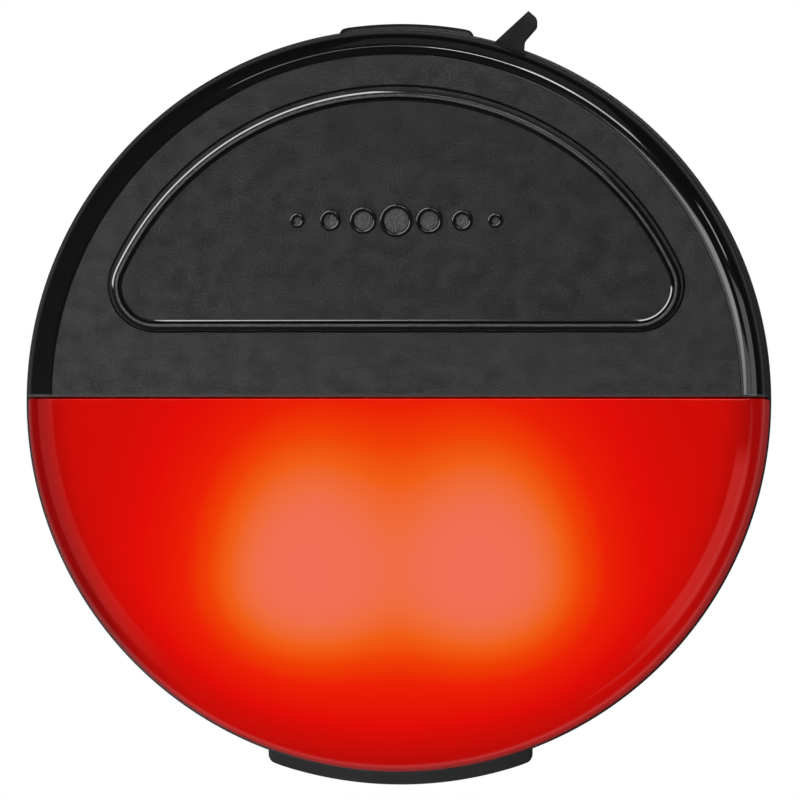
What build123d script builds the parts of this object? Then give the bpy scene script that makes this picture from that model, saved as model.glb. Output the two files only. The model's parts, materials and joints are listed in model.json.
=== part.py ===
from build123d import *
from math import cos, radians, sin
import os

# Round clip-on rear light. X is right, Z is up, and the light faces -Y.
# The origin is the centre of the body's flat back face. Sizes are millimetres and degrees.

# Body
BODY_RADIUS = 25.0
BODY_DEPTH = 14.0
FACE_RADIUS = 23.25
RIM_ROUNDING = 1.31
SIDE_RADIUS = 24.88
BACK_DEPTH = 4.0
BACK_PLATE = 2.0
BACK_ROUNDING = 1.2
WALL = 1.5
CAVITY_FRONT_RADIUS = 23.1
CAVITY_BACK_RADIUS = 23.35
CAVITY_BEVEL = 0.5
FACE_GROOVE_RADIUS = 23.05
FACE_GROOVE = 0.12

# Joint line between housing and lens
SPLIT_Z = 0.1
SPLIT_GAP = 0.13
SPLIT_WALL = 1.2
SPLIT_WALL_BACK = -8.0

# Button
BUTTON_RADIUS = 20.9
BUTTON_BOTTOM = 4.52
BUTTON_CORNER = 3.1
BUTTON_GAP = 0.14
BEAD_WIDTH = 0.34
BEAD_HEIGHT = 0.14
BEAD_GROOVE = 0.13
BUTTON_FLANGE = 0.6
FLANGE_FRONT = -12.2
FLANGE_BACK = -11.6
STEM_RADIUS = 2.6
SEAL_WIDTH = 1.1
SEAL_THICKNESS = 0.22
PRESS_Z = 11.9
PIP_RADII = (0.5, 0.7, 0.9, 1.1, 0.9, 0.7, 0.5)
PIP_PITCH = 2.2
PIP_HEIGHT = 0.13
PIP_TAPER = 30

# Circuit board and switch
BOARD_FRONT = -7.5
BOARD_THICKNESS = 1.0
BOARD_RADIUS = 20.4
SWITCH_SIDE = 6.0
SWITCH_HEIGHT = 2.6
SWITCH_CAVITY = 2.3
SWITCH_COVER = 0.3
PLUNGER_RADIUS = 1.7
PLUNGER_COLLAR = 2.15
PLUNGER_FRONT = -11.0
RUNNING_GAP = 0.05
SWITCH_CORNER = 0.4
SWITCH_FLOOR = 0.6
COLLAR_HEIGHT = 0.8
SNAP_DOME_RADIUS = 2.2
SNAP_DOME_HEIGHT = 0.5
SNAP_DOME_TAPER = 60
CONTROLLER_SIZE = (5.0, 1.4, 4.0)
CONTROLLER_PLACE = (-11.0, 7.0)
CHARGER_SIZE = (3.0, 1.1, 3.0)
CHARGER_PLACE = (10.0, 14.0)
CHIP_CHAMFER = 0.15
SMALL_PART_SIZE = (1.6, 0.6, 0.8)
SMALL_PART_START = (7.0, 4.0)
SMALL_PART_PITCH = (2.2, 2.0)
SMALL_PART_SHIFT = 0.4

# Lamps and reflector
LAMP_X = 5.6
LAMP_Z = -11.2
LAMP_SIDE = 5.0
LAMP_HEIGHT = 0.9
LAMP_CORNER = 0.3
DOME_RADIUS = 1.6
CUP_FRONT_RADIUS = 5.0
CUP_BACK_RADIUS = 2.3
CUP_WALL = 0.6
CUP_RIM_RADIUS = 5.58
TRAY_FRONT = -12.0
TRAY_THICKNESS = 0.6
CUP_BACK = -8.55
DIFFUSER_FRONT = -12.35
TRAY_RADIUS = 22.2
TRAY_TOP = -1.9
TRAY_LEGS = ((-14.0, -4.5), (14.0, -4.5), (0, -20.0))
TRAY_LEG_RADIUS = 1.0

# Screws
SCREW_RING = 21.6
SCREW_ANGLES = (50, 130, 230, 310)
BOSS_RADIUS = 2.0
BOSS_FRONT = -11.0
BOSS_CLEARANCE = 0.3
SCREW_SHANK = 0.95
SCREW_HEAD = 1.8
SCREW_HEAD_HEIGHT = 1.2
SCREW_HEAD_SUNK = 0.2
SCREW_HEAD_GAP = 0.2
SCREW_SHANK_GAP = 0.15
SCREW_SLOT_LENGTH = 2.0
SCREW_SLOT_WIDTH = 0.45
SCREW_SLOT_DEPTH = 0.6
SCREW_TIP = -9.0
SCREW_TIP_GAP = 0.4

# Back shell's inner rings
BOARD_RING_INNER = 17.4
BOARD_RING_OUTER = 18.4
SEAL_RING_INNER = 23.8
SEAL_RING_OUTER = 24.5
SEAL_RING_DEPTH = 0.5

# Battery
CELL_WIDTH = 25.0
CELL_HEIGHT = 20.0
CELL_FRONT = -6.3
CELL_BACK = -2.5
CELL_Z = -1.0
CELL_CORNER = 1.2
CELL_ROUNDING = 0.5
FOAM_MARGIN_X = 2.5
FOAM_MARGIN_Z = 2.0
TAB_PLACES = (-4.0, 4.0)
TAB_WIDTH = 2.0
TAB_THICKNESS = 0.2
TAB_REACH = 1.8
TAB_Y = -4.5

# Charging port and its rubber flap
PORT_Y = -8.83
SOCKET_WIDTH = 7.5
SOCKET_DEPTH = 2.65
SOCKET_WALL = 0.3
SOCKET_BOTTOM = 17.8
SOCKET_TOP = 22.8
SOCKET_CORNER = 0.6
TONGUE_SIZE = (5.0, 0.6, 3.8)
FLAP_FROM = -12.8
FLAP_TO = 20.2
RECESS_FROM = -15.5
RECESS_TO = 20.5
RECESS_FLOOR = 23.95
RECESS_HALF_WIDTH = 2.8
FLAP_CLEARANCE = 0.12
ANCHOR_FROM = -15.3
ANCHOR_TO = -13.5
ANCHOR_STEM_RADIUS = 0.7
ANCHOR_STEM_LENGTH = 2.2
ANCHOR_HEAD_RADIUS = 1.3
ANCHOR_HEAD_LENGTH = 0.8
ANCHOR_HOLE_LENGTH = 4.0
PORT_HALF_WIDTH = 4.2
PORT_HALF_DEPTH = 1.7
PORT_CORNER = 0.8
PLUG_CORNER = 0.5
PLUG_LAP = 0.2
PLUG_CLEARANCE = 0.3
PLUG_END = 23.0
PULL_TAB = ((6.3, 23.7), (6.75, 24.15), (8.76, 26.0), (9.32, 25.5), (9.32, 24.95), (8.5, 24.0), (8.4, 22.9))
PULL_TAB_HALF_WIDTH = 2.2
PULL_TAB_FOOT = (8.5, 24.0, 0)
PULL_TAB_END_ROUNDING = 0.35
PULL_TAB_FOOT_ROUNDING = 0.5

# Clip, seen from the side as y, z
PIVOT_Y = 3.4
PIVOT_Z = 11.0
PIN_RADIUS = 1.0
PIN_HALF_LENGTH = 8.7
EAR_RADIUS = 2.1
EAR_INNER = 4.4
EAR_OUTER = 6.4
EAR_FOOT = 3.6
PIN_FIT = 0.01
PIN_CHAMFER = 0.2
KNUCKLE_INNER = 6.7
KNUCKLE_REACH = 3.6
CLIP_HALF_WIDTH = 8.9
CLIP_REACH = 25.7
CLIP_CENTRE_Z = -0.1
CLIP_CORNER = 0.6
THUMB_WIDTH = 9.1
THUMB_OFFSET = 0.35
SHOULDER_BOTTOM = 14.0
SHOULDER_TOP = 18.0
SHOULDER_ROUNDING = 2.0
THUMB_RIB_HEIGHTS = (18.5, 20.2, 21.9, 23.6)
THUMB_RIB_Y = 7.75
THUMB_RIB_SIZE = (6.7, 0.9, 0.8)
CLIP_INNER = ((5.6, 25.8), (6.0, 9.0), (5.5, -10.0), (1.0, -16.4), (1.0, -21.4), (4.4, -25.9))
CLIP_OUTER = ((7.4, 25.8), (8.0, 9.0), (7.5, -11.0), (3.0, -17.6), (3.0, -20.6), (6.6, -25.9))
CLIP_INNER_ROUNDINGS = (20, 12, 2.5, 2.5)
CLIP_OUTER_ROUNDINGS = (20, 10, 2.5, 2.5)
PAD_BOTTOM = -21.0
PAD_TOP = -17.0
PAD_HALF_WIDTH = 7.0
PAD_FACE = 0.15
PAD_FLOOR = 0.6
PAD_BACK = 1.0
PAD_RIB = 0.5
PAD_RIBS = 4
COIL_RADIUS = 1.75
WIRE_RADIUS = 0.3
COIL_HALF_WALL = 0.35
COIL_HALF_LENGTH = 3.2
LEG_X = 2.7
LEG_LENGTH = 8.0
BACK_LEG_DIRECTION = (0, -1.25, -8)
THUMB_LEG_DIRECTION = (0, 0.12, 8)

BOARD_BACK = BOARD_FRONT + BOARD_THICKNESS
os.makedirs("parts", exist_ok=True)


def facing(y):
    """A sketch plane that faces the front at depth y, with X right and Z up."""
    return Plane.XZ.offset(-y)


def on_circle(radius, angle):
    """The point at an angle, clockwise from the top, on a circle seen from the front."""
    return radius * sin(radians(angle)), radius * cos(radians(angle))


def ring_sector(from_radius, to_radius, from_angle, to_angle):
    """Outline of a piece of a ring, its angles clockwise from the top."""
    middle = (from_angle + to_angle) / 2
    with BuildSketch(facing(0)) as sector:
        with BuildLine():
            outer = ThreePointArc(
                on_circle(to_radius, from_angle),
                on_circle(to_radius, middle),
                on_circle(to_radius, to_angle),
            )
            inner = ThreePointArc(
                on_circle(from_radius, to_angle),
                on_circle(from_radius, middle),
                on_circle(from_radius, from_angle),
            )
            Line(outer @ 1, inner @ 0)
            Line(inner @ 1, outer @ 0)
        make_face()
    return sector.sketch


def button_outline(inset):
    """The button's D shape, drawn in by inset, or out where inset is negative."""
    with BuildSketch(facing(0)) as outline:
        Circle(BUTTON_RADIUS - inset)
        with Locations((0, BUTTON_BOTTOM + inset - BODY_RADIUS)):
            Rectangle(2 * BODY_RADIUS, 2 * BODY_RADIUS, mode=Mode.SUBTRACT)
        fillet(outline.vertices(), BUTTON_CORNER - inset)
    return outline.sketch


def finish(piece, name):
    """Name a finished piece and write its file."""
    piece.part.label = name
    export_step(piece.part, f"parts/{name}.step")


SCREW_POINTS = [on_circle(SCREW_RING, angle) for angle in SCREW_ANGLES]
UPPER_POINTS = [point for point in SCREW_POINTS if point[1] > 0]
LOWER_POINTS = [point for point in SCREW_POINTS if point[1] < 0]

# Forms that the two front shells share
with BuildPart() as front_form:
    with BuildSketch(Plane.XY):
        with BuildLine():
            Line((0, -BODY_DEPTH), (FACE_RADIUS, -BODY_DEPTH))
            rounding = RadiusArc(
                (FACE_RADIUS, -BODY_DEPTH),
                (FACE_RADIUS + RIM_ROUNDING, -BODY_DEPTH + RIM_ROUNDING),
                -RIM_ROUNDING,
            )
            Polyline(rounding @ 1, (SIDE_RADIUS, -BACK_DEPTH), (0, -BACK_DEPTH), (0, -BODY_DEPTH))
        make_face()
    revolve(axis=Axis.Y)

with BuildPart() as cavity:
    front = -BODY_DEPTH + WALL
    with BuildSketch(Plane.XY):
        with BuildLine():
            Polyline(
                (0, front),
                (CAVITY_FRONT_RADIUS - CAVITY_BEVEL, front),
                (CAVITY_FRONT_RADIUS, front + CAVITY_BEVEL),
                (CAVITY_BACK_RADIUS, -BACK_DEPTH),
                (0, -BACK_DEPTH),
                close=True,
            )
        make_face()
    revolve(axis=Axis.Y)

with BuildPart() as face_groove:
    with BuildSketch(facing(-BODY_DEPTH)):
        Circle(FACE_GROOVE_RADIUS + FACE_GROOVE)
        Circle(FACE_GROOVE_RADIUS, mode=Mode.SUBTRACT)
    extrude(amount=-FACE_GROOVE)


def front_shell(above):
    """One front shell: the cup on its side of the joint line, with its own wall along that line."""
    side = 1 if above else -1
    edge = SPLIT_Z + side * SPLIT_GAP / 2
    middle = edge + side * BODY_RADIUS
    with BuildPart() as shell:
        add(front_form.part)
        add(cavity.part, mode=Mode.SUBTRACT)
        with BuildSketch(facing(SPLIT_WALL_BACK)):
            with Locations((0, edge + side * SPLIT_WALL / 2)):
                Rectangle(2 * CAVITY_BACK_RADIUS + WALL / 2, SPLIT_WALL)
        extrude(amount=SPLIT_WALL_BACK + BODY_DEPTH - WALL / 2)
        with BuildSketch(facing(-BACK_DEPTH)):
            with Locations(UPPER_POINTS if above else LOWER_POINTS):
                Circle(BOSS_RADIUS)
        extrude(amount=-BOSS_FRONT - BACK_DEPTH)
        with Locations((0, -BODY_DEPTH / 2, middle)):
            Box(3 * BODY_RADIUS, 3 * BODY_DEPTH, 2 * BODY_RADIUS, mode=Mode.INTERSECT)
        with BuildSketch(facing(-BACK_DEPTH)):
            with Locations(UPPER_POINTS if above else LOWER_POINTS):
                Circle(SCREW_SHANK + RUNNING_GAP)
        extrude(amount=SCREW_TIP_GAP - SCREW_TIP - BACK_DEPTH, mode=Mode.SUBTRACT)
    return shell.part


# Front housing: the black upper half, with the button's opening and the charging port
with BuildPart() as front_housing:
    add(front_shell(above=True))
    add(face_groove.part, mode=Mode.SUBTRACT)
    add(extrude(button_outline(0), amount=2 * BODY_DEPTH), mode=Mode.SUBTRACT)
    with BuildSketch(facing(PORT_Y + RECESS_HALF_WIDTH)):
        add(ring_sector(RECESS_FLOOR, BODY_RADIUS + 1, RECESS_FROM, RECESS_TO))
    extrude(amount=2 * RECESS_HALF_WIDTH, mode=Mode.SUBTRACT)
    with BuildSketch(Plane.XY.offset(SOCKET_TOP)):
        with Locations((0, PORT_Y)):
            RectangleRounded(2 * PORT_HALF_WIDTH, 2 * PORT_HALF_DEPTH, PORT_CORNER)
    extrude(amount=BODY_RADIUS - SOCKET_TOP, mode=Mode.SUBTRACT)
    anchor_x, anchor_z = on_circle(CAVITY_FRONT_RADIUS - 1, (RECESS_FROM + ANCHOR_TO) / 2)
    anchor_plane = Plane((anchor_x, PORT_Y, anchor_z), z_dir=(anchor_x, 0, anchor_z))
    with BuildSketch(anchor_plane):
        Circle(ANCHOR_STEM_RADIUS + RUNNING_GAP)
    extrude(amount=ANCHOR_HOLE_LENGTH, mode=Mode.SUBTRACT)
finish(front_housing, "front_housing")

# Lens: the translucent lower half
with BuildPart() as lens:
    add(front_shell(above=False))
finish(lens, "lens")

# Mode button: a cap whose raised bead follows its edge, over a flange that keeps it in
with BuildPart() as mode_button:
    add(extrude(button_outline(BUTTON_GAP), amount=BODY_DEPTH))
    add(extrude(button_outline(-BUTTON_FLANGE), amount=-FLANGE_FRONT))
    with Locations((0, FLANGE_BACK / 2, 0)):
        Box(3 * BODY_RADIUS, -FLANGE_BACK, 3 * BODY_RADIUS, mode=Mode.SUBTRACT)
    bead_inner = BUTTON_GAP + BEAD_WIDTH
    with BuildSketch(facing(-BODY_DEPTH)):
        add(button_outline(BUTTON_GAP))
        add(button_outline(bead_inner), mode=Mode.SUBTRACT)
    extrude(amount=BEAD_HEIGHT)
    with BuildSketch(facing(-BODY_DEPTH)):
        add(button_outline(bead_inner))
        add(button_outline(bead_inner + BEAD_GROOVE), mode=Mode.SUBTRACT)
    extrude(amount=-BEAD_GROOVE, mode=Mode.SUBTRACT)
    for step, radius in enumerate(PIP_RADII):
        with BuildSketch(facing(-BODY_DEPTH)):
            with Locations(((step - len(PIP_RADII) // 2) * PIP_PITCH, PRESS_Z)):
                Circle(radius)
        extrude(amount=PIP_HEIGHT, taper=PIP_TAPER)
    with BuildSketch(facing(FLANGE_BACK)):
        with Locations((0, PRESS_Z)):
            Circle(STEM_RADIUS)
    extrude(amount=FLANGE_BACK - PLUNGER_FRONT + RUNNING_GAP)
finish(mode_button, "mode_button")

# Button seal: a flat gasket stuck round the opening, behind the housing's face
with BuildPart() as button_seal:
    with BuildSketch(facing(-BODY_DEPTH + WALL)):
        add(button_outline(-SEAL_WIDTH))
        add(button_outline(0), mode=Mode.SUBTRACT)
    extrude(amount=-SEAL_THICKNESS)
finish(button_seal, "button_seal")

# Circuit board, notched round the screw bosses
with BuildPart() as circuit_board:
    with BuildSketch(facing(BOARD_BACK)):
        Circle(BOARD_RADIUS)
        with Locations(SCREW_POINTS):
            Circle(BOSS_RADIUS + BOSS_CLEARANCE, mode=Mode.SUBTRACT)
    extrude(amount=BOARD_THICKNESS)
finish(circuit_board, "circuit_board")

# Switch: base, steel cover, plunger and the snap dome that returns it
with BuildPart() as switch_base:
    with BuildSketch(facing(BOARD_FRONT)):
        with Locations((0, PRESS_Z)):
            RectangleRounded(SWITCH_SIDE, SWITCH_SIDE, SWITCH_CORNER)
    extrude(amount=SWITCH_HEIGHT)
    with BuildSketch(facing(BOARD_FRONT - SWITCH_HEIGHT)):
        with Locations((0, PRESS_Z)):
            Circle(SWITCH_CAVITY)
    extrude(amount=SWITCH_FLOOR - SWITCH_HEIGHT, mode=Mode.SUBTRACT)
finish(switch_base, "switch_base")

with BuildPart() as switch_cover:
    with BuildSketch(facing(BOARD_FRONT - SWITCH_HEIGHT)):
        with Locations((0, PRESS_Z)):
            RectangleRounded(SWITCH_SIDE, SWITCH_SIDE, SWITCH_CORNER)
            Circle(PLUNGER_RADIUS + RUNNING_GAP, mode=Mode.SUBTRACT)
    extrude(amount=SWITCH_COVER)
finish(switch_cover, "switch_cover")

with BuildPart() as switch_plunger:
    with BuildSketch(facing(BOARD_FRONT - SWITCH_HEIGHT + RUNNING_GAP)):
        with Locations((0, PRESS_Z)):
            Circle(PLUNGER_COLLAR)
    extrude(amount=-COLLAR_HEIGHT)
    with BuildSketch(facing(BOARD_FRONT - SWITCH_HEIGHT + RUNNING_GAP)):
        with Locations((0, PRESS_Z)):
            Circle(PLUNGER_RADIUS)
    extrude(amount=BOARD_FRONT - SWITCH_HEIGHT + RUNNING_GAP - PLUNGER_FRONT)
finish(switch_plunger, "switch_plunger")

with BuildPart() as snap_dome:
    with BuildSketch(facing(BOARD_FRONT - SWITCH_FLOOR)):
        with Locations((0, PRESS_Z)):
            Circle(SNAP_DOME_RADIUS)
    extrude(amount=SNAP_DOME_HEIGHT, taper=SNAP_DOME_TAPER)
finish(snap_dome, "snap_dome")

# Lamps: a package and a clear dome on each side, behind the lens
for side, x in (("left", -LAMP_X), ("right", LAMP_X)):
    with BuildPart() as lamp:
        with BuildSketch(facing(BOARD_FRONT)):
            with Locations((x, LAMP_Z)):
                RectangleRounded(LAMP_SIDE, LAMP_SIDE, LAMP_CORNER)
        extrude(amount=LAMP_HEIGHT)
    finish(lamp, f"lamp_{side}")
    with BuildPart() as lamp_dome:
        with Locations((x, BOARD_FRONT - LAMP_HEIGHT, LAMP_Z)):
            Sphere(DOME_RADIUS)
        with Locations((x, BOARD_FRONT - LAMP_HEIGHT - DOME_RADIUS, LAMP_Z)):
            Box(4 * DOME_RADIUS, 2 * DOME_RADIUS, 4 * DOME_RADIUS, mode=Mode.INTERSECT)
    finish(lamp_dome, f"lamp_dome_{side}")


def tray_outline():
    """The lower segment that the tray and the diffuser fill, clear of the lens bosses."""
    with BuildSketch(facing(0)) as outline:
        Circle(TRAY_RADIUS)
        with Locations((0, TRAY_TOP + BODY_RADIUS)):
            Rectangle(2 * BODY_RADIUS, 2 * BODY_RADIUS, mode=Mode.SUBTRACT)
        with Locations(LOWER_POINTS):
            Circle(BOSS_RADIUS + BOSS_CLEARANCE, mode=Mode.SUBTRACT)
    return outline.sketch


# Reflector tray: a white plate with a cup round each lamp, on three legs
with BuildPart() as reflector_tray:
    with BuildSketch(facing(TRAY_FRONT + TRAY_THICKNESS)):
        add(tray_outline())
    extrude(amount=TRAY_THICKNESS)
    for x in (-LAMP_X, LAMP_X):
        with BuildSketch(Plane.XY):
            with BuildLine():
                Polyline(
                    (0, CUP_BACK),
                    (CUP_BACK_RADIUS + CUP_WALL, CUP_BACK),
                    (CUP_RIM_RADIUS, TRAY_FRONT),
                    (0, TRAY_FRONT),
                    close=True,
                )
            make_face()
        with Locations((x, 0, LAMP_Z)):
            add(revolve(axis=Axis.Y, mode=Mode.PRIVATE))
    for x in (-LAMP_X, LAMP_X):
        with BuildSketch(facing(TRAY_FRONT)):
            with Locations((x, LAMP_Z)):
                Circle(CUP_FRONT_RADIUS)
        with BuildSketch(facing(CUP_BACK)):
            with Locations((x, LAMP_Z)):
                Circle(CUP_BACK_RADIUS)
        loft(mode=Mode.SUBTRACT)
    with BuildSketch(facing(BOARD_FRONT)):
        with Locations(TRAY_LEGS):
            Circle(TRAY_LEG_RADIUS)
    extrude(amount=BOARD_FRONT - TRAY_FRONT - TRAY_THICKNESS / 2)
finish(reflector_tray, "reflector_tray")

with BuildPart() as diffuser_sheet:
    with BuildSketch(facing(TRAY_FRONT)):
        add(tray_outline())
    extrude(amount=TRAY_FRONT - DIFFUSER_FRONT)
finish(diffuser_sheet, "diffuser_sheet")


# Board parts: two chips and three rows of small parts, all standing on the board's front
def standing_on_board(size, place):
    """A location that stands a box of the given size on the board at x, z."""
    return Location((place[0], BOARD_FRONT - size[1] / 2, place[1]))


with BuildPart() as controller_chip:
    with Locations(standing_on_board(CONTROLLER_SIZE, CONTROLLER_PLACE)):
        Box(*CONTROLLER_SIZE)
    chamfer(controller_chip.faces().sort_by(Axis.Y)[0].edges(), CHIP_CHAMFER)
finish(controller_chip, "controller_chip")

with BuildPart() as charge_chip:
    with Locations(standing_on_board(CHARGER_SIZE, CHARGER_PLACE)):
        Box(*CHARGER_SIZE)
    chamfer(charge_chip.faces().sort_by(Axis.Y)[0].edges(), CHIP_CHAMFER)
finish(charge_chip, "charge_chip")

with BuildPart() as board_parts:
    for row in range(3):
        for column in range(4):
            x = SMALL_PART_START[0] + column * SMALL_PART_PITCH[0] + row * SMALL_PART_SHIFT
            z = SMALL_PART_START[1] + row * SMALL_PART_PITCH[1]
            with Locations(standing_on_board(SMALL_PART_SIZE, (x, z))):
                Box(*SMALL_PART_SIZE)
finish(board_parts, "board_parts")

# Battery: pouch cell, its foam pad on the back shell, and its tabs to the board
with BuildPart() as battery_cell:
    with BuildSketch(facing(CELL_BACK)):
        with Locations((0, CELL_Z)):
            RectangleRounded(CELL_WIDTH, CELL_HEIGHT, CELL_CORNER)
    extrude(amount=CELL_BACK - CELL_FRONT)
    fillet(battery_cell.edges().filter_by(Plane.XZ), CELL_ROUNDING)
finish(battery_cell, "battery_cell")

with BuildPart() as battery_foam:
    with BuildSketch(facing(-BACK_PLATE)):
        with Locations((0, CELL_Z)):
            RectangleRounded(
                CELL_WIDTH - 2 * FOAM_MARGIN_X, CELL_HEIGHT - 2 * FOAM_MARGIN_Z, CELL_CORNER
            )
    extrude(amount=-BACK_PLATE - CELL_BACK)
finish(battery_foam, "battery_foam")

with BuildPart() as battery_tabs:
    tab_start = CELL_Z + CELL_HEIGHT / 2
    tab_end = tab_start + TAB_REACH
    for x in TAB_PLACES:
        with BuildSketch(Plane.YZ.offset(x - TAB_WIDTH / 2)):
            with BuildLine():
                Polyline(
                    (TAB_Y, tab_start),
                    (TAB_Y + TAB_THICKNESS, tab_start),
                    (TAB_Y + TAB_THICKNESS, tab_end),
                    (BOARD_BACK, tab_end),
                    (BOARD_BACK, tab_end - TAB_THICKNESS),
                    (TAB_Y, tab_end - TAB_THICKNESS),
                    close=True,
                )
            make_face()
        extrude(amount=TAB_WIDTH)
finish(battery_tabs, "battery_tabs")

# Charging socket: folded steel shell with a tongue inside, its mouth at the rim
with BuildPart() as usb_socket:
    with BuildSketch(Plane.XY.offset(SOCKET_BOTTOM)):
        with Locations((0, PORT_Y)):
            RectangleRounded(SOCKET_WIDTH, SOCKET_DEPTH, SOCKET_CORNER)
    extrude(amount=SOCKET_TOP - SOCKET_BOTTOM)
    with BuildSketch(Plane.XY.offset(SOCKET_TOP)):
        with Locations((0, PORT_Y)):
            RectangleRounded(
                SOCKET_WIDTH - 2 * SOCKET_WALL, SOCKET_DEPTH - 2 * SOCKET_WALL, SOCKET_CORNER - SOCKET_WALL
            )
    extrude(amount=SOCKET_BOTTOM - SOCKET_TOP + SOCKET_WALL, mode=Mode.SUBTRACT)
finish(usb_socket, "usb_socket")

with BuildPart() as usb_tongue:
    with Locations((0, PORT_Y, SOCKET_BOTTOM + SOCKET_WALL + TONGUE_SIZE[2] / 2)):
        Box(*TONGUE_SIZE)
finish(usb_tongue, "usb_tongue")

# Port flap: a rubber band that fills the recess in the rim, with a plug and a slanted pull tab
FLAP_HALF_WIDTH = RECESS_HALF_WIDTH - FLAP_CLEARANCE
FLAP_INNER = RECESS_FLOOR + FLAP_CLEARANCE
with BuildPart() as port_flap:
    with BuildSketch(facing(PORT_Y + FLAP_HALF_WIDTH)):
        add(ring_sector(FLAP_INNER, BODY_RADIUS + 1, FLAP_FROM, FLAP_TO))
    extrude(amount=2 * FLAP_HALF_WIDTH)
    with BuildSketch(Plane.XY.offset(PLUG_END)):
        with Locations((0, PORT_Y)):
            RectangleRounded(
                2 * (PORT_HALF_WIDTH - PLUG_CLEARANCE), 2 * (PORT_HALF_DEPTH - PLUG_CLEARANCE), PLUG_CORNER
            )
    extrude(amount=FLAP_INNER + PLUG_LAP - PLUG_END)
    add(front_form.part, mode=Mode.INTERSECT)
    with BuildSketch(facing(PORT_Y + PULL_TAB_HALF_WIDTH)) as tab:
        with BuildLine():
            Polyline(*PULL_TAB, close=True)
        make_face()
        fillet(tab.vertices().group_by(Axis.X)[-1], PULL_TAB_END_ROUNDING)
        fillet(tab.vertices().sort_by_distance(PULL_TAB_FOOT)[0], PULL_TAB_FOOT_ROUNDING)
    extrude(amount=2 * PULL_TAB_HALF_WIDTH)
finish(port_flap, "port_flap")

# Flap anchor: the rooted end of the same rubber, with a stem and a head inside the wall
with BuildPart() as flap_anchor:
    with BuildSketch(facing(PORT_Y + FLAP_HALF_WIDTH)):
        add(ring_sector(RECESS_FLOOR, BODY_RADIUS + 1, ANCHOR_FROM, ANCHOR_TO))
    extrude(amount=2 * FLAP_HALF_WIDTH)
    add(front_form.part, mode=Mode.INTERSECT)
    with BuildSketch(anchor_plane):
        Circle(ANCHOR_STEM_RADIUS)
    extrude(amount=ANCHOR_STEM_LENGTH)
    with BuildSketch(anchor_plane):
        Circle(ANCHOR_HEAD_RADIUS)
    extrude(amount=ANCHOR_HEAD_LENGTH)
finish(flap_anchor, "flap_anchor")

# Back shell: shallow tray with a ring that carries the board, screw posts and the clip's two ears
with BuildPart() as back_shell:
    with BuildSketch(Plane.XY):
        with BuildLine():
            Line((0, -BACK_DEPTH), (BODY_RADIUS, -BACK_DEPTH))
            Line((BODY_RADIUS, -BACK_DEPTH), (BODY_RADIUS, -BACK_ROUNDING))
            RadiusArc((BODY_RADIUS, -BACK_ROUNDING), (BODY_RADIUS - BACK_ROUNDING, 0), -BACK_ROUNDING)
            Polyline((BODY_RADIUS - BACK_ROUNDING, 0), (0, 0), (0, -BACK_DEPTH))
        make_face()
    revolve(axis=Axis.Y)
    with BuildSketch(facing(-BACK_PLATE)):
        Circle(CAVITY_BACK_RADIUS)
        with Locations(SCREW_POINTS):
            Circle(BOSS_RADIUS + BOSS_CLEARANCE, mode=Mode.SUBTRACT)
    extrude(amount=BACK_DEPTH - BACK_PLATE, mode=Mode.SUBTRACT)
    with BuildSketch(facing(-BACK_PLATE)):
        Circle(BOARD_RING_OUTER)
        Circle(BOARD_RING_INNER, mode=Mode.SUBTRACT)
    extrude(amount=-BACK_PLATE - BOARD_BACK)
    with BuildSketch(facing(-BACK_DEPTH)):
        Circle(SEAL_RING_OUTER)
        Circle(SEAL_RING_INNER, mode=Mode.SUBTRACT)
    extrude(amount=-SEAL_RING_DEPTH, mode=Mode.SUBTRACT)
    with BuildSketch(facing(0)):
        with Locations(SCREW_POINTS):
            Circle(SCREW_HEAD + SCREW_HEAD_GAP)
    extrude(amount=SCREW_HEAD_HEIGHT + SCREW_HEAD_SUNK, mode=Mode.SUBTRACT)
    with BuildSketch(facing(0)):
        with Locations(SCREW_POINTS):
            Circle(SCREW_SHANK + SCREW_SHANK_GAP)
    extrude(amount=BACK_DEPTH, mode=Mode.SUBTRACT)
    for x in (-EAR_OUTER, EAR_INNER):
        with BuildSketch(Plane.YZ.offset(x)):
            with BuildLine():
                Polyline((0, PIVOT_Z - EAR_FOOT), (PIVOT_Y, PIVOT_Z - EAR_RADIUS))
                ThreePointArc(
                    (PIVOT_Y, PIVOT_Z - EAR_RADIUS),
                    (PIVOT_Y + EAR_RADIUS, PIVOT_Z),
                    (PIVOT_Y, PIVOT_Z + EAR_RADIUS),
                )
                Polyline((PIVOT_Y, PIVOT_Z + EAR_RADIUS), (0, PIVOT_Z + EAR_FOOT), (-1, PIVOT_Z + EAR_FOOT))
                Polyline((-1, PIVOT_Z + EAR_FOOT), (-1, PIVOT_Z - EAR_FOOT), (0, PIVOT_Z - EAR_FOOT))
            make_face()
            with Locations((PIVOT_Y, PIVOT_Z)):
                Circle(PIN_RADIUS + PIN_FIT, mode=Mode.SUBTRACT)
        extrude(amount=EAR_OUTER - EAR_INNER)
finish(back_shell, "back_shell")

with BuildPart() as case_seal:
    with BuildSketch(facing(-BACK_DEPTH + SEAL_RING_DEPTH)):
        Circle(SEAL_RING_OUTER)
        Circle(SEAL_RING_INNER, mode=Mode.SUBTRACT)
    extrude(amount=SEAL_RING_DEPTH)
finish(case_seal, "case_seal")

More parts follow.
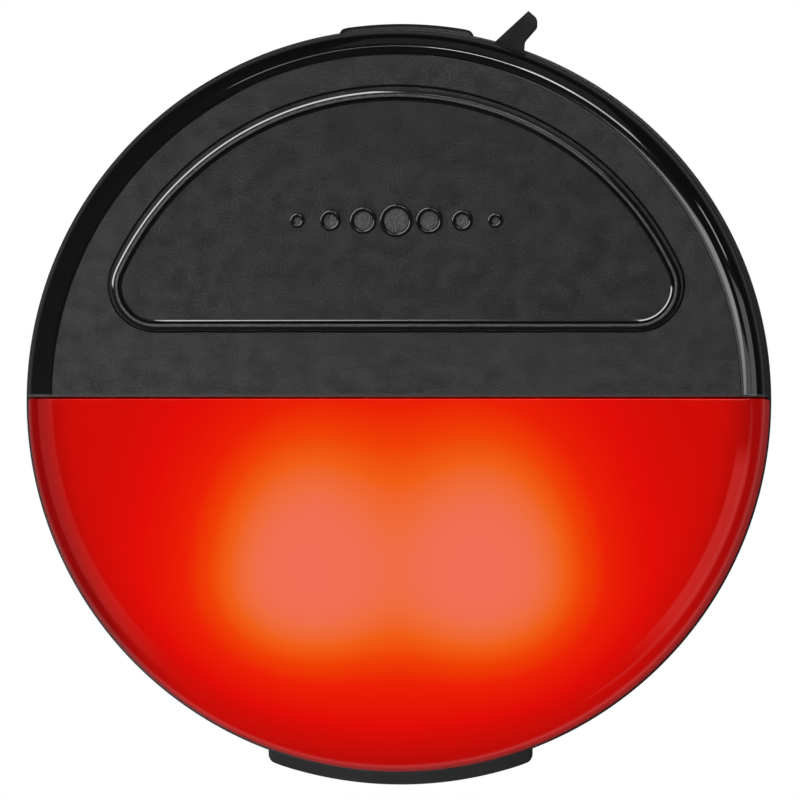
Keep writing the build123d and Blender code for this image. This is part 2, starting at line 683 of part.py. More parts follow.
# Case screws, all four in one group, each with a cross slot in its head
with BuildPart() as case_screws:
    with BuildSketch(facing(-SCREW_HEAD_SUNK)):
        with Locations(SCREW_POINTS):
            Circle(SCREW_HEAD)
    extrude(amount=SCREW_HEAD_HEIGHT)
    with BuildSketch(facing(-SCREW_HEAD_SUNK)):
        with Locations(SCREW_POINTS):
            Circle(SCREW_SHANK)
    extrude(amount=-SCREW_TIP - SCREW_HEAD_SUNK)
    with BuildSketch(facing(-SCREW_HEAD_SUNK)):
        with Locations(SCREW_POINTS):
            Rectangle(SCREW_SLOT_LENGTH, SCREW_SLOT_WIDTH)
            Rectangle(SCREW_SLOT_WIDTH, SCREW_SLOT_LENGTH)
    extrude(amount=SCREW_SLOT_DEPTH, mode=Mode.SUBTRACT)
finish(case_screws, "case_screws")

# Hinge pin through the ears and the lever's knuckles
with BuildPart() as hinge_pin:
    with BuildSketch(Plane.YZ.offset(-PIN_HALF_LENGTH)):
        with Locations((PIVOT_Y, PIVOT_Z)):
            Circle(PIN_RADIUS)
    extrude(amount=2 * PIN_HALF_LENGTH)
    chamfer(hinge_pin.edges().filter_by(GeomType.CIRCLE), PIN_CHAMFER)
finish(hinge_pin, "hinge_pin")

# Clip lever: side profile carried across its width, then cut to its outline seen from behind
with BuildPart() as clip_lever:
    with BuildSketch(Plane.YZ.offset(-CLIP_HALF_WIDTH)):
        with BuildLine():
            inner = FilletPolyline(*CLIP_INNER, radius=CLIP_INNER_ROUNDINGS)
            outer = FilletPolyline(*CLIP_OUTER, radius=CLIP_OUTER_ROUNDINGS)
            Line(inner @ 0, outer @ 0)
            Line(inner @ 1, outer @ 1)
        make_face()
    extrude(amount=2 * CLIP_HALF_WIDTH)
    for x in (-CLIP_HALF_WIDTH, KNUCKLE_INNER):
        with BuildSketch(Plane.YZ.offset(x)):
            with Locations((PIVOT_Y, PIVOT_Z)):
                Circle(EAR_RADIUS)
            with Locations((PIVOT_Y + KNUCKLE_REACH / 2, PIVOT_Z)):
                Rectangle(KNUCKLE_REACH, 2 * EAR_RADIUS)
        extrude(amount=CLIP_HALF_WIDTH - KNUCKLE_INNER)
    with BuildSketch(Plane.YZ.offset(-CLIP_HALF_WIDTH)):
        with Locations((PIVOT_Y, PIVOT_Z)):
            Circle(PIN_RADIUS + RUNNING_GAP)
    extrude(amount=2 * CLIP_HALF_WIDTH, mode=Mode.SUBTRACT)
    with BuildSketch(facing(10)) as clip_outline:
        thumb_left = THUMB_OFFSET - THUMB_WIDTH / 2
        thumb_right = THUMB_OFFSET + THUMB_WIDTH / 2
        with BuildLine():
            Polyline(
                (-CLIP_HALF_WIDTH, -2 * CLIP_REACH),
                (-CLIP_HALF_WIDTH, SHOULDER_BOTTOM),
                (thumb_left, SHOULDER_TOP),
                (thumb_left, 2 * CLIP_REACH),
                (thumb_right, 2 * CLIP_REACH),
                (thumb_right, SHOULDER_TOP),
                (CLIP_HALF_WIDTH, SHOULDER_BOTTOM),
                (CLIP_HALF_WIDTH, -2 * CLIP_REACH),
                close=True,
            )
        make_face()
        with Locations((0, CLIP_CENTRE_Z)):
            Circle(CLIP_REACH, mode=Mode.INTERSECT)
        ends = [corner for corner in clip_outline.vertices() if abs(corner.Y) > SHOULDER_TOP + 1]
        fillet(ends, CLIP_CORNER)
        waist = [corner for corner in clip_outline.vertices() if 0 < corner.Y < SHOULDER_TOP + 1]
        fillet(waist, SHOULDER_ROUNDING)
    extrude(amount=12, mode=Mode.INTERSECT)
    for z in THUMB_RIB_HEIGHTS:
        with Locations((THUMB_OFFSET, THUMB_RIB_Y, z)):
            Box(*THUMB_RIB_SIZE)
finish(clip_lever, "clip_lever")

# Clip pad: ribbed rubber that grips the strap against the back face
with BuildPart() as clip_pad:
    with Locations((0, (PAD_FLOOR + PAD_BACK) / 2, (PAD_BOTTOM + PAD_TOP) / 2)):
        Box(2 * PAD_HALF_WIDTH, PAD_BACK - PAD_FLOOR, PAD_TOP - PAD_BOTTOM)
    for step in range(PAD_RIBS):
        rib_z = PAD_BOTTOM + (step + 0.5) * (PAD_TOP - PAD_BOTTOM) / PAD_RIBS
        with Locations((0, (PAD_FACE + PAD_BACK) / 2, rib_z)):
            Box(2 * PAD_HALF_WIDTH, PAD_BACK - PAD_FACE, PAD_RIB)
finish(clip_pad, "clip_pad")

# Torsion spring: the outer form of its coil with one leg on the back face and one on the thumb tab
with BuildPart() as torsion_spring:
    with BuildSketch(Plane.YZ.offset(-COIL_HALF_LENGTH)):
        with Locations((PIVOT_Y, PIVOT_Z)):
            Circle(COIL_RADIUS + COIL_HALF_WALL)
            Circle(COIL_RADIUS - COIL_HALF_WALL, mode=Mode.SUBTRACT)
    extrude(amount=2 * COIL_HALF_LENGTH)
    back_leg = Plane((-LEG_X, PIVOT_Y - COIL_RADIUS, PIVOT_Z), z_dir=BACK_LEG_DIRECTION)
    thumb_leg = Plane((LEG_X, PIVOT_Y + COIL_RADIUS, PIVOT_Z), z_dir=THUMB_LEG_DIRECTION)
    for leg in (back_leg, thumb_leg):
        with BuildSketch(leg):
            Circle(WIRE_RADIUS)
        extrude(amount=LEG_LENGTH)
finish(torsion_spring, "torsion_spring")
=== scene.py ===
# %% [markdown]
# A round clip-on rear light, dressed for its portrait. The measured model already holds every piece at
# its real size, so this lesson starts from that frame and only adds looks: finer skins where light
# plays on the surface, and a finish for everything that shows.

# %% Load the measured frame
import json
from math import cos, pi, radians, sin, sqrt

import bpy
import numpy as np
from mathutils import Matrix, Vector

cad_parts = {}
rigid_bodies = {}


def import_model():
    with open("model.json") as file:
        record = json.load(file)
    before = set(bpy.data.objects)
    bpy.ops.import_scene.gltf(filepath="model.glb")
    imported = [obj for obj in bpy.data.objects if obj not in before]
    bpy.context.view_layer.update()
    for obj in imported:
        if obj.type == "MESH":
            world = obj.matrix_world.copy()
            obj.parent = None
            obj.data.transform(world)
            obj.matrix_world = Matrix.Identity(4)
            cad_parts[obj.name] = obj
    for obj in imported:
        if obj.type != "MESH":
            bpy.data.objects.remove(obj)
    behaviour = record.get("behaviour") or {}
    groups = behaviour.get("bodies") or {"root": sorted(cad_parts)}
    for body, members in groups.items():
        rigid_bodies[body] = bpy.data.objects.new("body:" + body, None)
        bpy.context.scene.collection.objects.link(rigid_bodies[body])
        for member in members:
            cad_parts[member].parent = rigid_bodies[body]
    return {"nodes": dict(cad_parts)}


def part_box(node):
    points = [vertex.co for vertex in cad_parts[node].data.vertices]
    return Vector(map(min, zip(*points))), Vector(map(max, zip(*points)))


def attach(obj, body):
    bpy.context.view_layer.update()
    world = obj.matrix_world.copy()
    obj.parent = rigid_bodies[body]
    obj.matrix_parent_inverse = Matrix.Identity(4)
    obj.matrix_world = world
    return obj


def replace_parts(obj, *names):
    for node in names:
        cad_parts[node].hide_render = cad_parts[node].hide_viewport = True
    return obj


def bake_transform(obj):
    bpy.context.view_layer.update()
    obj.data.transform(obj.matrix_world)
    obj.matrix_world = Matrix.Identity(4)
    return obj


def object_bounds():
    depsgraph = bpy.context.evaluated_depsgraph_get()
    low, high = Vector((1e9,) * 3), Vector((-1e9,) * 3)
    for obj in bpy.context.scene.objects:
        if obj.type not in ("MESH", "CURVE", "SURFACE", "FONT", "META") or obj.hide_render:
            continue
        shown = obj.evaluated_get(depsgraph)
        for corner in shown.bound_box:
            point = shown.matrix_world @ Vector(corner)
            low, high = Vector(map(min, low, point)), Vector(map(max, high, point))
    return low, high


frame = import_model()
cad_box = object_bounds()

MM = 0.001
print("pieces in the frame:", len(frame["nodes"]))

# %% [markdown]
# The driving sizes come first, in millimetres, seen from the front with X to the right and Z up. The
# widest circle and the depths are read from the frame, and the rest repeat the model's own sizes.

# %% Sizes
BODY_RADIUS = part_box("back_shell")[1].x / MM
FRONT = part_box("front_housing")[0].y / MM
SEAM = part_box("front_housing")[1].y / MM
FACE_RADIUS = 23.25
ROUNDING = 1.31
SIDE_RADIUS = 24.88
CAVITY_FRONT = FRONT + 1.5
SPLIT_Z = 0.1
SPLIT_GAP = 0.13
SPLIT_WALL = 1.2
SPLIT_WALL_BACK = -8.0
LAMP_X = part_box("lamp_right")[0].x / MM + 2.5
LAMP_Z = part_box("lamp_right")[0].z / MM + 2.5
BUTTON = {"radius": 20.9, "chord": 4.52, "corner": 3.1}
PRESS_Z = 11.9
PORT_Y = -8.83
PIVOT_Y = 3.4
PIVOT_Z = 11.0
print("widest circle", round(2 * BODY_RADIUS, 2), "mm, depth in front of the back face", -FRONT, "mm")

# %% [markdown]
# The picture was taken with a long lens, because the sides hardly show. A lens of about a metre from a
# metre and a half away gives that flat look, and the camera stands a hair to the right and below.

# %% Camera
PIXELS_PER_MM = 14.88
SENSOR_MM = 36.0
IMAGE_PIXELS = 800
DISTANCE_MM = 1500.0
AZIMUTH = radians(0.96)
ELEVATION = radians(-0.64)
TARGET_MM = (0.047, -2.0, 0.08)

camera_data = bpy.data.cameras.new("camera")
camera = bpy.data.objects.new("camera", camera_data)
bpy.context.scene.collection.objects.link(camera)
bpy.context.scene.camera = camera
camera_data.sensor_width = SENSOR_MM
camera_data.lens = SENSOR_MM * DISTANCE_MM * PIXELS_PER_MM / IMAGE_PIXELS
away = np.array([sin(AZIMUTH) * cos(ELEVATION), -cos(AZIMUTH) * cos(ELEVATION), sin(ELEVATION)])
camera.location = (np.array(TARGET_MM) + DISTANCE_MM * away) * MM
camera.rotation_euler = (pi / 2 - ELEVATION, 0, AZIMUTH)
camera_data.clip_end = 20
bpy.context.scene.view_settings.view_transform = "Standard"
print("lens", round(camera_data.lens), "mm")

# %% [markdown]
# Every new skin is a stack of rings: each ring is one closed outline with the same number of points, and
# a ring is joined to the next by a band of four-sided faces. A stack can close on itself, as the wall of
# a housing does round its opening, or end in a point at each end, as a button does. The helper turns
# the faces outward by the sign of the volume that they close.

# %% From rings to a mesh
def signed_volume(points, faces):
    """Six times the volume: the sum of a . (b x c) over each face's fan of triangles."""
    total = 0.0
    for corner in range(1, faces.shape[1] - 1):
        a, b, c = points[faces[:, 0]], points[faces[:, corner]], points[faces[:, corner + 1]]
        total += np.einsum("ij,ij->i", a, np.cross(b, c)).sum()
    return total


def to_object(name, points, faces, polish=None, sharp=35):
    """A mesh from millimetre points, smooth but for edges sharper than the given angle."""
    mesh = bpy.data.meshes.new(name)
    mesh.from_pydata((points * MM).tolist(), [], faces)
    if polish is not None:
        layer = mesh.attributes.new("polish", "FLOAT", "POINT")
        layer.data.foreach_set("value", polish.astype(np.float32))
    mesh.shade_smooth()
    mesh.set_sharp_from_angle(angle=radians(sharp))
    piece = bpy.data.objects.new(name, mesh)
    bpy.context.scene.collection.objects.link(piece)
    return piece


def stack(name, rings, ends="points", polish=None, sharp=35):
    """Rings (k, n, 3) joined by quads: face (i, j) takes points j and j + 1 of rings i and i + 1.
    ends is "points" for a pole at each end's middle, or "loop" to join the last ring to the first."""
    rings = np.asarray(rings, float)
    count, around = rings.shape[:2]
    points = rings.reshape(-1, 3)
    bands = count if ends == "loop" else count - 1
    i, j = np.meshgrid(np.arange(bands), np.arange(around), indexing="ij")
    after, beside = (i + 1) % count, (j + 1) % around
    quads = np.stack(
        [i * around + j, after * around + j, after * around + beside, i * around + beside], axis=-1
    ).reshape(-1, 4)
    fans = np.empty((0, 3), int)
    if ends == "points":
        poles = np.array([rings[0].mean(0), rings[-1].mean(0)])
        first = len(points)
        here, there = np.arange(around), (np.arange(around) + 1) % around
        last = (count - 1) * around
        start_fan = np.stack([here, there, np.full(around, first)], axis=-1)
        end_fan = np.stack([last + there, last + here, np.full(around, first + 1)], axis=-1)
        fans = np.concatenate([start_fan, end_fan])
        points = np.concatenate([points, poles])
    volume = signed_volume(points, quads) + (signed_volume(points, fans) if len(fans) else 0)
    if volume < 0:
        quads, fans = quads[:, ::-1], fans[:, ::-1]
    values = None
    if polish is not None:
        values = np.repeat(np.asarray(polish, float), around)
        values = np.concatenate([values, values[:1], values[-1:]]) if ends == "points" else values
    return to_object(name, points, quads.tolist() + fans.tolist(), values, sharp)


def ring(outline, y):
    """An outline of x, z pairs set at depth y, which may differ from point to point."""
    outline = np.asarray(outline)
    return np.stack([outline[:, 0], np.broadcast_to(y, len(outline)), outline[:, 1]], axis=-1)


# %% [markdown]
# One outline serves the housing, the lens and the button alike: a circle cut by a straight chord, its
# two corners rounded. The corner's centre lies where both the chord and the circle are one corner
# radius away. The points are shared out the same way for every size, so rings of different sizes match.

# %% The cut circle
CHORD_POINTS = 48
CORNER_POINTS = 14
ARC_POINTS = 220


def cut_circle(radius, chord, corner, flip=1):
    """x, z points of a circle of the given radius above height chord, with rounded corners:
    the chord from left to right, the right corner, the arc over the top, then the left corner.
    The corner's centre is (sqrt((R - c)^2 - (h + c)^2), h + c). flip = -1 mirrors it top to bottom."""
    centre_z = chord + corner
    centre_x = sqrt((radius - corner) ** 2 - centre_z**2)
    lean = np.arctan2(centre_z, centre_x)
    along = np.linspace(-centre_x, centre_x, CHORD_POINTS, endpoint=False)
    turn = np.linspace(-pi / 2, lean, CORNER_POINTS, endpoint=False)
    sweep = np.linspace(lean, pi - lean, ARC_POINTS, endpoint=False)
    back = np.linspace(pi - lean, 3 * pi / 2, CORNER_POINTS, endpoint=False)
    right_x, left_x = centre_x + corner * np.cos(turn), -centre_x + corner * np.cos(back)
    right_z, left_z = centre_z + corner * np.sin(turn), centre_z + corner * np.sin(back)
    x = np.concatenate([along, right_x, radius * np.cos(sweep), left_x])
    z = np.concatenate([np.full(CHORD_POINTS, chord), right_z, radius * np.sin(sweep), left_z])
    return np.stack([x, flip * z], axis=-1)


corner_fade = np.linspace(0, 1, CORNER_POINTS)
ON_ARC = np.concatenate([np.zeros(CHORD_POINTS), corner_fade, np.ones(ARC_POINTS), corner_fade[::-1]])


def inset_button(inset):
    """The button's D shape drawn in by inset."""
    return cut_circle(BUTTON["radius"] - inset, BUTTON["chord"] + inset, BUTTON["corner"] - inset)


print("outline points", len(ON_ARC))

# %% [markdown]
# Both halves share a rim: a quarter round from the flat face to the side wall, which spreads a little
# towards the back. Along the joint line each half has a fine rounded edge of its own. The thin highlight
# between black and red on the housing's edge is painted into its colour.

# %% The shared rim
EDGE = 0.1
RIM_STEPS = 14
RIM_CORNER = 0.08
SEAM_CHAMFER = 0.08
DRAFTED_DEPTHS = [4.0, 7.0]
LAST_SIDE_DEPTH = 9.9
EDGE_DEPTHS = {0.003, 0.015, 0.035, 0.06, EDGE}


def drafted_radius(depth):
    """Radius of the side wall at a depth behind the face."""
    share = (depth - ROUNDING) / (SEAM - FRONT - ROUNDING)
    return FACE_RADIUS + ROUNDING + share * (SIDE_RADIUS - FACE_RADIUS - ROUNDING)


def rim_radius(depth):
    """Radius at a depth behind the face: F + sqrt(r^2 - (r - d)^2) on the rounding, then the draft."""
    if depth < ROUNDING:
        return FACE_RADIUS + sqrt(ROUNDING**2 - (ROUNDING - depth) ** 2)
    return drafted_radius(depth)


def edge_inset(depth):
    """How far the joint's edge is drawn back at a depth: e - sqrt(e^2 - (e - d)^2) while d < e."""
    return EDGE - sqrt(EDGE**2 - (EDGE - depth) ** 2) if depth < EDGE else 0.0


def rim_rings(chord, flip):
    """Rings over the rounding, down the side wall and back up inside it."""
    turns = np.linspace(0, pi / 2, RIM_STEPS)
    depths = sorted(set(np.round(ROUNDING * (1 - np.cos(turns)), 5)) | EDGE_DEPTHS) + DRAFTED_DEPTHS
    rings = [
        ring(cut_circle(rim_radius(depth), chord + edge_inset(depth), RIM_CORNER, flip), FRONT + depth)
        for depth in depths
    ]
    inner = chord + SPLIT_WALL
    last_side = (rim_radius(LAST_SIDE_DEPTH), chord, SEAM - SEAM_CHAMFER)
    inside = (24.8, chord, SEAM), (23.4, inner, SEAM), (23.15, inner, -12.0), (22.6, inner, CAVITY_FRONT)
    for radius, low, y in (last_side, *inside):
        depth = np.where(ON_ARC > 0, y, min(y, SPLIT_WALL_BACK))
        rings.append(ring(cut_circle(radius, low, RIM_CORNER, flip), depth))
    return rings


print("side wall radius", FACE_RADIUS + ROUNDING, "to", SIDE_RADIUS, "mm")

# %% [markdown]
# The housing closes on itself: from the button's opening, across the matte face, over the rim, down the
# side and back inside to the opening. A hair-thin groove runs round the face just before the rounding.
# The face is moulded matte and the rim is polished, so each ring carries how polished it is.

# %% Front housing
GROOVE = ((22.98, 0.0), (23.01, 0.1), (23.12, 0.1), (23.15, 0.0))
FACE_STEPS = 7
SPLIT_UP = SPLIT_Z + SPLIT_GAP / 2
SPLIT_DOWN = -(SPLIT_Z - SPLIT_GAP / 2)

opening = [
    ring(inset_button(0), CAVITY_FRONT),
    ring(inset_button(0), FRONT + 0.12),
    ring(inset_button(-0.01), FRONT + 0.06),
    ring(inset_button(-0.035), FRONT + 0.02),
    ring(inset_button(-0.08), FRONT),
]
opening_polish = [1, 1, 1, 1, 0.8]
inner_edge, outer_edge = inset_button(-0.14), cut_circle(22.95, SPLIT_UP + EDGE, RIM_CORNER)
face = [
    ring(inner_edge + (outer_edge - inner_edge) * share, FRONT) for share in np.linspace(0, 1, FACE_STEPS)
]
groove = [
    ring(cut_circle(radius, SPLIT_UP + EDGE, RIM_CORNER), FRONT + deep * ON_ARC) for radius, deep in GROOVE
]
rim = rim_rings(SPLIT_UP, 1)
housing_rings = opening + face + groove + rim
housing_polish = opening_polish + [0] * FACE_STEPS + [1] * (len(groove) + len(rim))
housing = stack("housing_skin", housing_rings, ends="loop", polish=housing_polish, sharp=40)
print("housing rings", len(housing_rings), "of", len(ON_ARC), "points")

# %% [markdown]
# The charging port needs a recess in the rim and a slot through the wall. A Boolean modifier cuts both,
# with blocks made from rings as well, and its result is baked into the mesh so that nothing stays live.

# %% Recess and slot for the charging port
END_BEVEL = 0.1


def around_top(radius, angle):
    """x, z on a circle at an angle clockwise from the top."""
    turn = np.radians(angle)
    return radius * np.sin(turn), radius * np.cos(turn)


def block_of_rim(name, low, high, half_width, from_angle, to_angle, rounding=0.05, steps=24, outer=None):
    """A stretch of the rim: a rounded rectangle in radius and depth, carried round from one angle to
    the other. Section point t: corner centre plus rounding times (cos t, sin t). Its ends are drawn in,
    and the rings beside them stand END_BEVEL degrees inside, which bevels them."""
    quarter = np.linspace(0, pi / 2, 5)
    corner_turns = np.concatenate([quarter + k * pi / 2 for k in range(4)])
    out_sign = np.repeat([1, -1, -1, 1], 5)
    side_sign = np.repeat([1, 1, -1, -1], 5)
    angles = np.linspace(from_angle, to_angle, steps)
    rings = []
    for index, angle in enumerate([angles[0], *angles, angles[-1]]):
        end = index in (0, steps + 1)
        shrink = rounding if end else 0.0
        y = PORT_Y + side_sign * (half_width - rounding) + (rounding - shrink) * np.sin(corner_turns)
        top = high if outer is None else outer(y)
        middle, half = (top + low) / 2, (top - low) / 2
        r = middle + out_sign * (half - rounding) + (rounding - shrink) * np.cos(corner_turns)
        turn = angle + (END_BEVEL if index == 1 else -END_BEVEL if index == steps else 0.0)
        x, z = around_top(r, turn)
        rings.append(np.stack([x, y, z], axis=-1))
    return stack(name, rings, sharp=50)


def rounded_slot(half_x, half_y, corner, points=6):
    """Outline of a rectangle with rounded corners, centred on nought."""
    quarter = np.linspace(0, pi / 2, points)
    turns = np.concatenate([quarter + k * pi / 2 for k in range(4)])
    x = np.repeat([1, -1, -1, 1], points) * (half_x - corner) + corner * np.cos(turns)
    y = np.repeat([1, 1, -1, -1], points) * (half_y - corner) + corner * np.sin(turns)
    return np.stack([x, y], axis=-1)


def level_ring(outline, z, scale=1.0):
    """An outline of x, y pairs about the port's middle, scaled and set level at height z."""
    x, y = outline[:, 0] * scale, outline[:, 1] * scale + PORT_Y
    return np.stack([x, y, np.full(len(outline), z)], axis=-1)


def cut(piece, cutter):
    """Take the cutter out of the piece, keep the result and delete the cutter."""
    modifier = piece.modifiers.new("cut", "BOOLEAN")
    modifier.operation = "DIFFERENCE"
    modifier.solver = "EXACT"
    modifier.object = cutter
    graph = bpy.context.evaluated_depsgraph_get()
    mesh = bpy.data.meshes.new_from_object(piece.evaluated_get(graph))
    piece.modifiers.clear()
    piece.data = mesh
    piece.data.set_sharp_from_angle(angle=radians(40))
    bpy.data.objects.remove(cutter)


RECESS = (-15.5, 20.5)
cut(housing, block_of_rim("recess", 23.95, 26.5, 2.8, *RECESS))
slot_outline = rounded_slot(4.2, 1.7, 0.8)
cut(housing, stack("slot", [level_ring(slot_outline, z) for z in (22.7, 24.6)]))
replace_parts(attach(housing, "body"), "front_housing")
print("housing faces", len(housing.data.polygons))

# %% [markdown]
# The lens is the same cut circle turned upside down, with no opening: its rings start from a point in
# the middle of its face and end in a point inside. It is one polished red moulding.

# %% Lens
LENS_MIDDLE = np.array([0.0, -10.5])
lens_edge = cut_circle(FACE_RADIUS - 0.05, SPLIT_DOWN + EDGE, RIM_CORNER, -1)
shares = (0.04, 0.15, 0.3, 0.45, 0.6, 0.75, 0.88, 0.96, 1.0)
lens_face = [ring(LENS_MIDDLE + (lens_edge - LENS_MIDDLE) * share, FRONT) for share in shares]
lens_rim = rim_rings(SPLIT_DOWN, -1)
inner_edge = cut_circle(22.6, SPLIT_DOWN + SPLIT_WALL, RIM_CORNER, -1)
lens_inside = [
    ring(LENS_MIDDLE + (inner_edge - LENS_MIDDLE) * share, CAVITY_FRONT) for share in (0.7, 0.35, 0.05)
]
lens = stack("lens_skin", lens_face + lens_rim + lens_inside, sharp=40)
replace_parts(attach(lens, "body"), "lens")
print("lens faces", len(lens.data.polygons))

# %% [markdown]
# The button's cap has a matte face inside a raised bead. Both flanks of the bead are polished slopes that
# catch the light on one side and stay black on the other, its flat top is matte, and a narrow groove
# runs inside it. Below are a short side, a flange that keeps it behind the housing, and the stem.

# %% Mode button
BUTTON_MIDDLE = np.array([0.0, 12.0])
BUTTON_EDGE = 0.05
BEAD_INSET = 0.18
BEAD_DROP = np.array([0.0, -0.12])
STEM_RADIUS = 2.6
STEM_END = -11.05
FLANGE_OUT = 0.6
FLANGE = (-12.2, -11.6)
UNDER_BEAD = FRONT + 0.1


def bead_line(inset):
    """The bead's outer foot moved inward by inset; the bead sits a little low on the cap."""
    return inset_button(BEAD_INSET + inset) + BEAD_DROP


# Rows of inset, rise and polish.
bead_shape = (
    (0.72, -0.15, 0.0),
    (0.72, 0.0, 0.0),
    (0.7, 0.01, 1.0),
    (0.61, 0.08, 1.0),
    (0.58, 0.08, 1.0),
    (0.56, 0.05, 1.0),
    (0.54, -0.04, 1.0),
    (0.48, -0.04, 1.0),
    (0.46, 0.08, 1.0),
    (0.44, 0.125, 1.0),
    (0.41, 0.135, 0.1),
    (0.27, 0.135, 0.0),
    (0.24, 0.13, 1.0),
    (0.19, 0.125, 1.0),
    (0.15, 0.11, 1.0),
    (0.115, 0.09, 1.0),
    (0.015, 0.015, 1.0),
    (0.0, 0.0, 0.0),
    (0.0, -0.15, 0.0),
)
bead_rings = [ring(bead_line(inset), FRONT - rise) for inset, rise, shine in bead_shape]
bead = stack("button_bead", bead_rings, ends="loop", polish=[shine for *_, shine in bead_shape], sharp=30)
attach(bead, "button")
flat_edge = bead_line(0.74)
cap = [
    ring(BUTTON_MIDDLE + (flat_edge - BUTTON_MIDDLE) * share, FRONT)
    for share in (0.05, 0.2, 0.4, 0.6, 0.8, 0.92, 1.0)
]
cap += [ring(bead_line(0.66), UNDER_BEAD), ring(bead_line(0.08), UNDER_BEAD), ring(bead_line(-0.01), FRONT)]
stem_turn = np.arctan2(flat_edge[:, 1] - PRESS_Z, flat_edge[:, 0])
stem = np.stack([STEM_RADIUS * np.cos(stem_turn), PRESS_Z + STEM_RADIUS * np.sin(stem_turn)], axis=-1)
hidden = [
    ring(inset_button(BUTTON_EDGE + 0.02), FRONT),
    ring(inset_button(BUTTON_EDGE), FRONT + 0.02),
    ring(inset_button(BUTTON_EDGE), FLANGE[0]),
    ring(inset_button(-FLANGE_OUT), FLANGE[0]),
    ring(inset_button(-FLANGE_OUT), FLANGE[1]),
    ring(stem, FLANGE[1]),
    ring(stem, STEM_END),
]
button = stack("button_skin", cap + hidden, polish=[0] * len(cap + hidden), sharp=40)
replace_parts(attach(button, "button"), "mode_button")
print("bead", bead_shape[0][0], "mm wide and", max(rise for _, rise, _ in bead_shape), "mm high")

# %% [markdown]
# A plain row of round pips marks where the thumb presses. Each is a small matte disc inside a polished
# bead, like the button itself: the bead is half an ellipse in section.

# %% Pips
PIP_RADII = (0.5, 0.7, 0.9, 1.1, 0.9, 0.7, 0.5)
PIP_PITCH = 2.2
PIP_HEIGHT = 0.13
PIP_BEAD = 0.26
PIP_SUNK = 0.03
PIP_FOOT = 0.01
PIP_UNDER = 0.08
turns = np.linspace(0, 2 * pi, 64, endpoint=False)
circle = np.stack([np.cos(turns), np.sin(turns)], axis=-1)
pips = []
for step, radius in enumerate(PIP_RADII):
    centre = np.array([(step - len(PIP_RADII) // 2) * PIP_PITCH, PRESS_Z])
    flat = radius - PIP_BEAD
    profile = [(flat * share, -PIP_SUNK) for share in (0.2, 0.6, 0.97)]
    for turn in np.linspace(pi, 0, 11):
        out, up = PIP_BEAD / 2 * cos(turn), PIP_FOOT + (PIP_HEIGHT - PIP_FOOT) * sin(turn)
        profile.append((radius - PIP_BEAD / 2 + out, -up))
    profile += [(radius, PIP_UNDER), (radius * 0.5, PIP_UNDER)]
    rings = [ring(centre + r * circle, FRONT + deep) for r, deep in profile]
    pip = stack(f"button_pip_{step + 1}", rings, polish=[0] * 3 + [1] * (len(profile) - 3), sharp=50)
    pips.append(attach(pip, "button"))
print("pips", len(pips))

# %% [markdown]
# The rubber flap fills the recess in the rim, following the side wall's draft, and its pull tab stands
# up at a slant where a fingernail can catch it. The tab is a prism whose edges a Bevel modifier softens.

# %% Port flap
def side_wall(y):
    """Outer radius of the body at depth y, on the drafted wall."""
    return drafted_radius(y - FRONT)


def soften(corners, radii, points=7):
    """Round a polygon's corners. At each corner an arc of radius r starts r * tan(turn / 2) before it:
    its points are a quadratic curve between the two ends, with the corner as its middle handle."""
    corners = np.asarray(corners, float)
    before, after = np.roll(corners, 1, axis=0), np.roll(corners, -1, axis=0)
    rounded = []
    for corner, start, end, radius in zip(corners, before, after, radii):
        to_start = (start - corner) / np.linalg.norm(start - corner)
        to_end = (end - corner) / np.linalg.norm(end - corner)
        half = np.arccos(np.clip(to_start @ to_end, -1, 1)) / 2
        reach = radius / np.tan(half)
        t = np.linspace(0, 1, points)[:, None]
        arc = (1 - t) ** 2 * (corner + to_start * reach) + 2 * t * (1 - t) * corner
        rounded.append(arc + t**2 * (corner + to_end * reach))
    return np.concatenate(rounded)


def prism(name, outline, near, far, bevel=0.12, to_ring=ring):
    """An outline carried from one depth to another and closed by a flat face at each end, with a bevel
    on every edge that turns by more than 35 degrees."""
    count = len(outline)
    points = np.concatenate([to_ring(outline, near), to_ring(outline, far)])
    here = np.arange(count)
    beside = (here + 1) % count
    sides = np.stack([here, beside, beside + count, here + count], axis=-1)
    ends = np.stack([here[::-1], here + count])
    if signed_volume(points, sides) + signed_volume(points, ends) < 0:
        sides, ends = sides[:, ::-1], ends[:, ::-1]
    piece = to_object(name, points, sides.tolist() + ends.tolist())
    modifier = piece.modifiers.new("bevel", "BEVEL")
    modifier.width, modifier.segments, modifier.angle_limit = bevel * MM, 3, radians(35)
    modifier.harden_normals = True
    return piece


FLAP = (-12.8, 20.2)
ANCHOR = (-15.3, -13.5)
flap_band = block_of_rim("flap_band", 24.07, 24.8, 2.68, *FLAP, rounding=0.12, outer=side_wall)
anchor_band = block_of_rim(
    "anchor_band", 23.97, 24.8, 2.68, *ANCHOR, rounding=0.12, steps=4, outer=side_wall
)
TAB = ((6.2, 23.6), (8.78, 25.98), (9.33, 25.5), (9.33, 24.95), (8.5, 24.0), (8.42, 22.9), (6.2, 22.9))
tab_outline = soften(TAB, (0.02, 0.05, 0.28, 0.4, 0.5, 0.02, 0.02))
pull_tab = prism("pull_tab", tab_outline, PORT_Y - 2.2, PORT_Y + 2.2, bevel=0.1)
plug_outline = rounded_slot(3.9, 1.4, 0.5)
plug_levels = ((23.0, 0.94), (23.15, 1.0), (24.2, 1.0))
plug = stack("flap_plug", [level_ring(plug_outline, z, scale) for z, scale in plug_levels], sharp=50)
for piece in (flap_band, pull_tab, plug):
    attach(piece, "flap")
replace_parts(flap_band, "port_flap")
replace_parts(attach(anchor_band, "body"), "flap_anchor")
print("flap from", FLAP[0], "to", FLAP[1], "degrees")

# %% [markdown]
# The back shell is a lathe shape: a flat back, a rounded shoulder and a rim that stands a little proud
# of the two front halves. A profile turned round the Y axis makes it, four counterbores take the screw
# heads, and the two ears of the clip are slabs on its back.

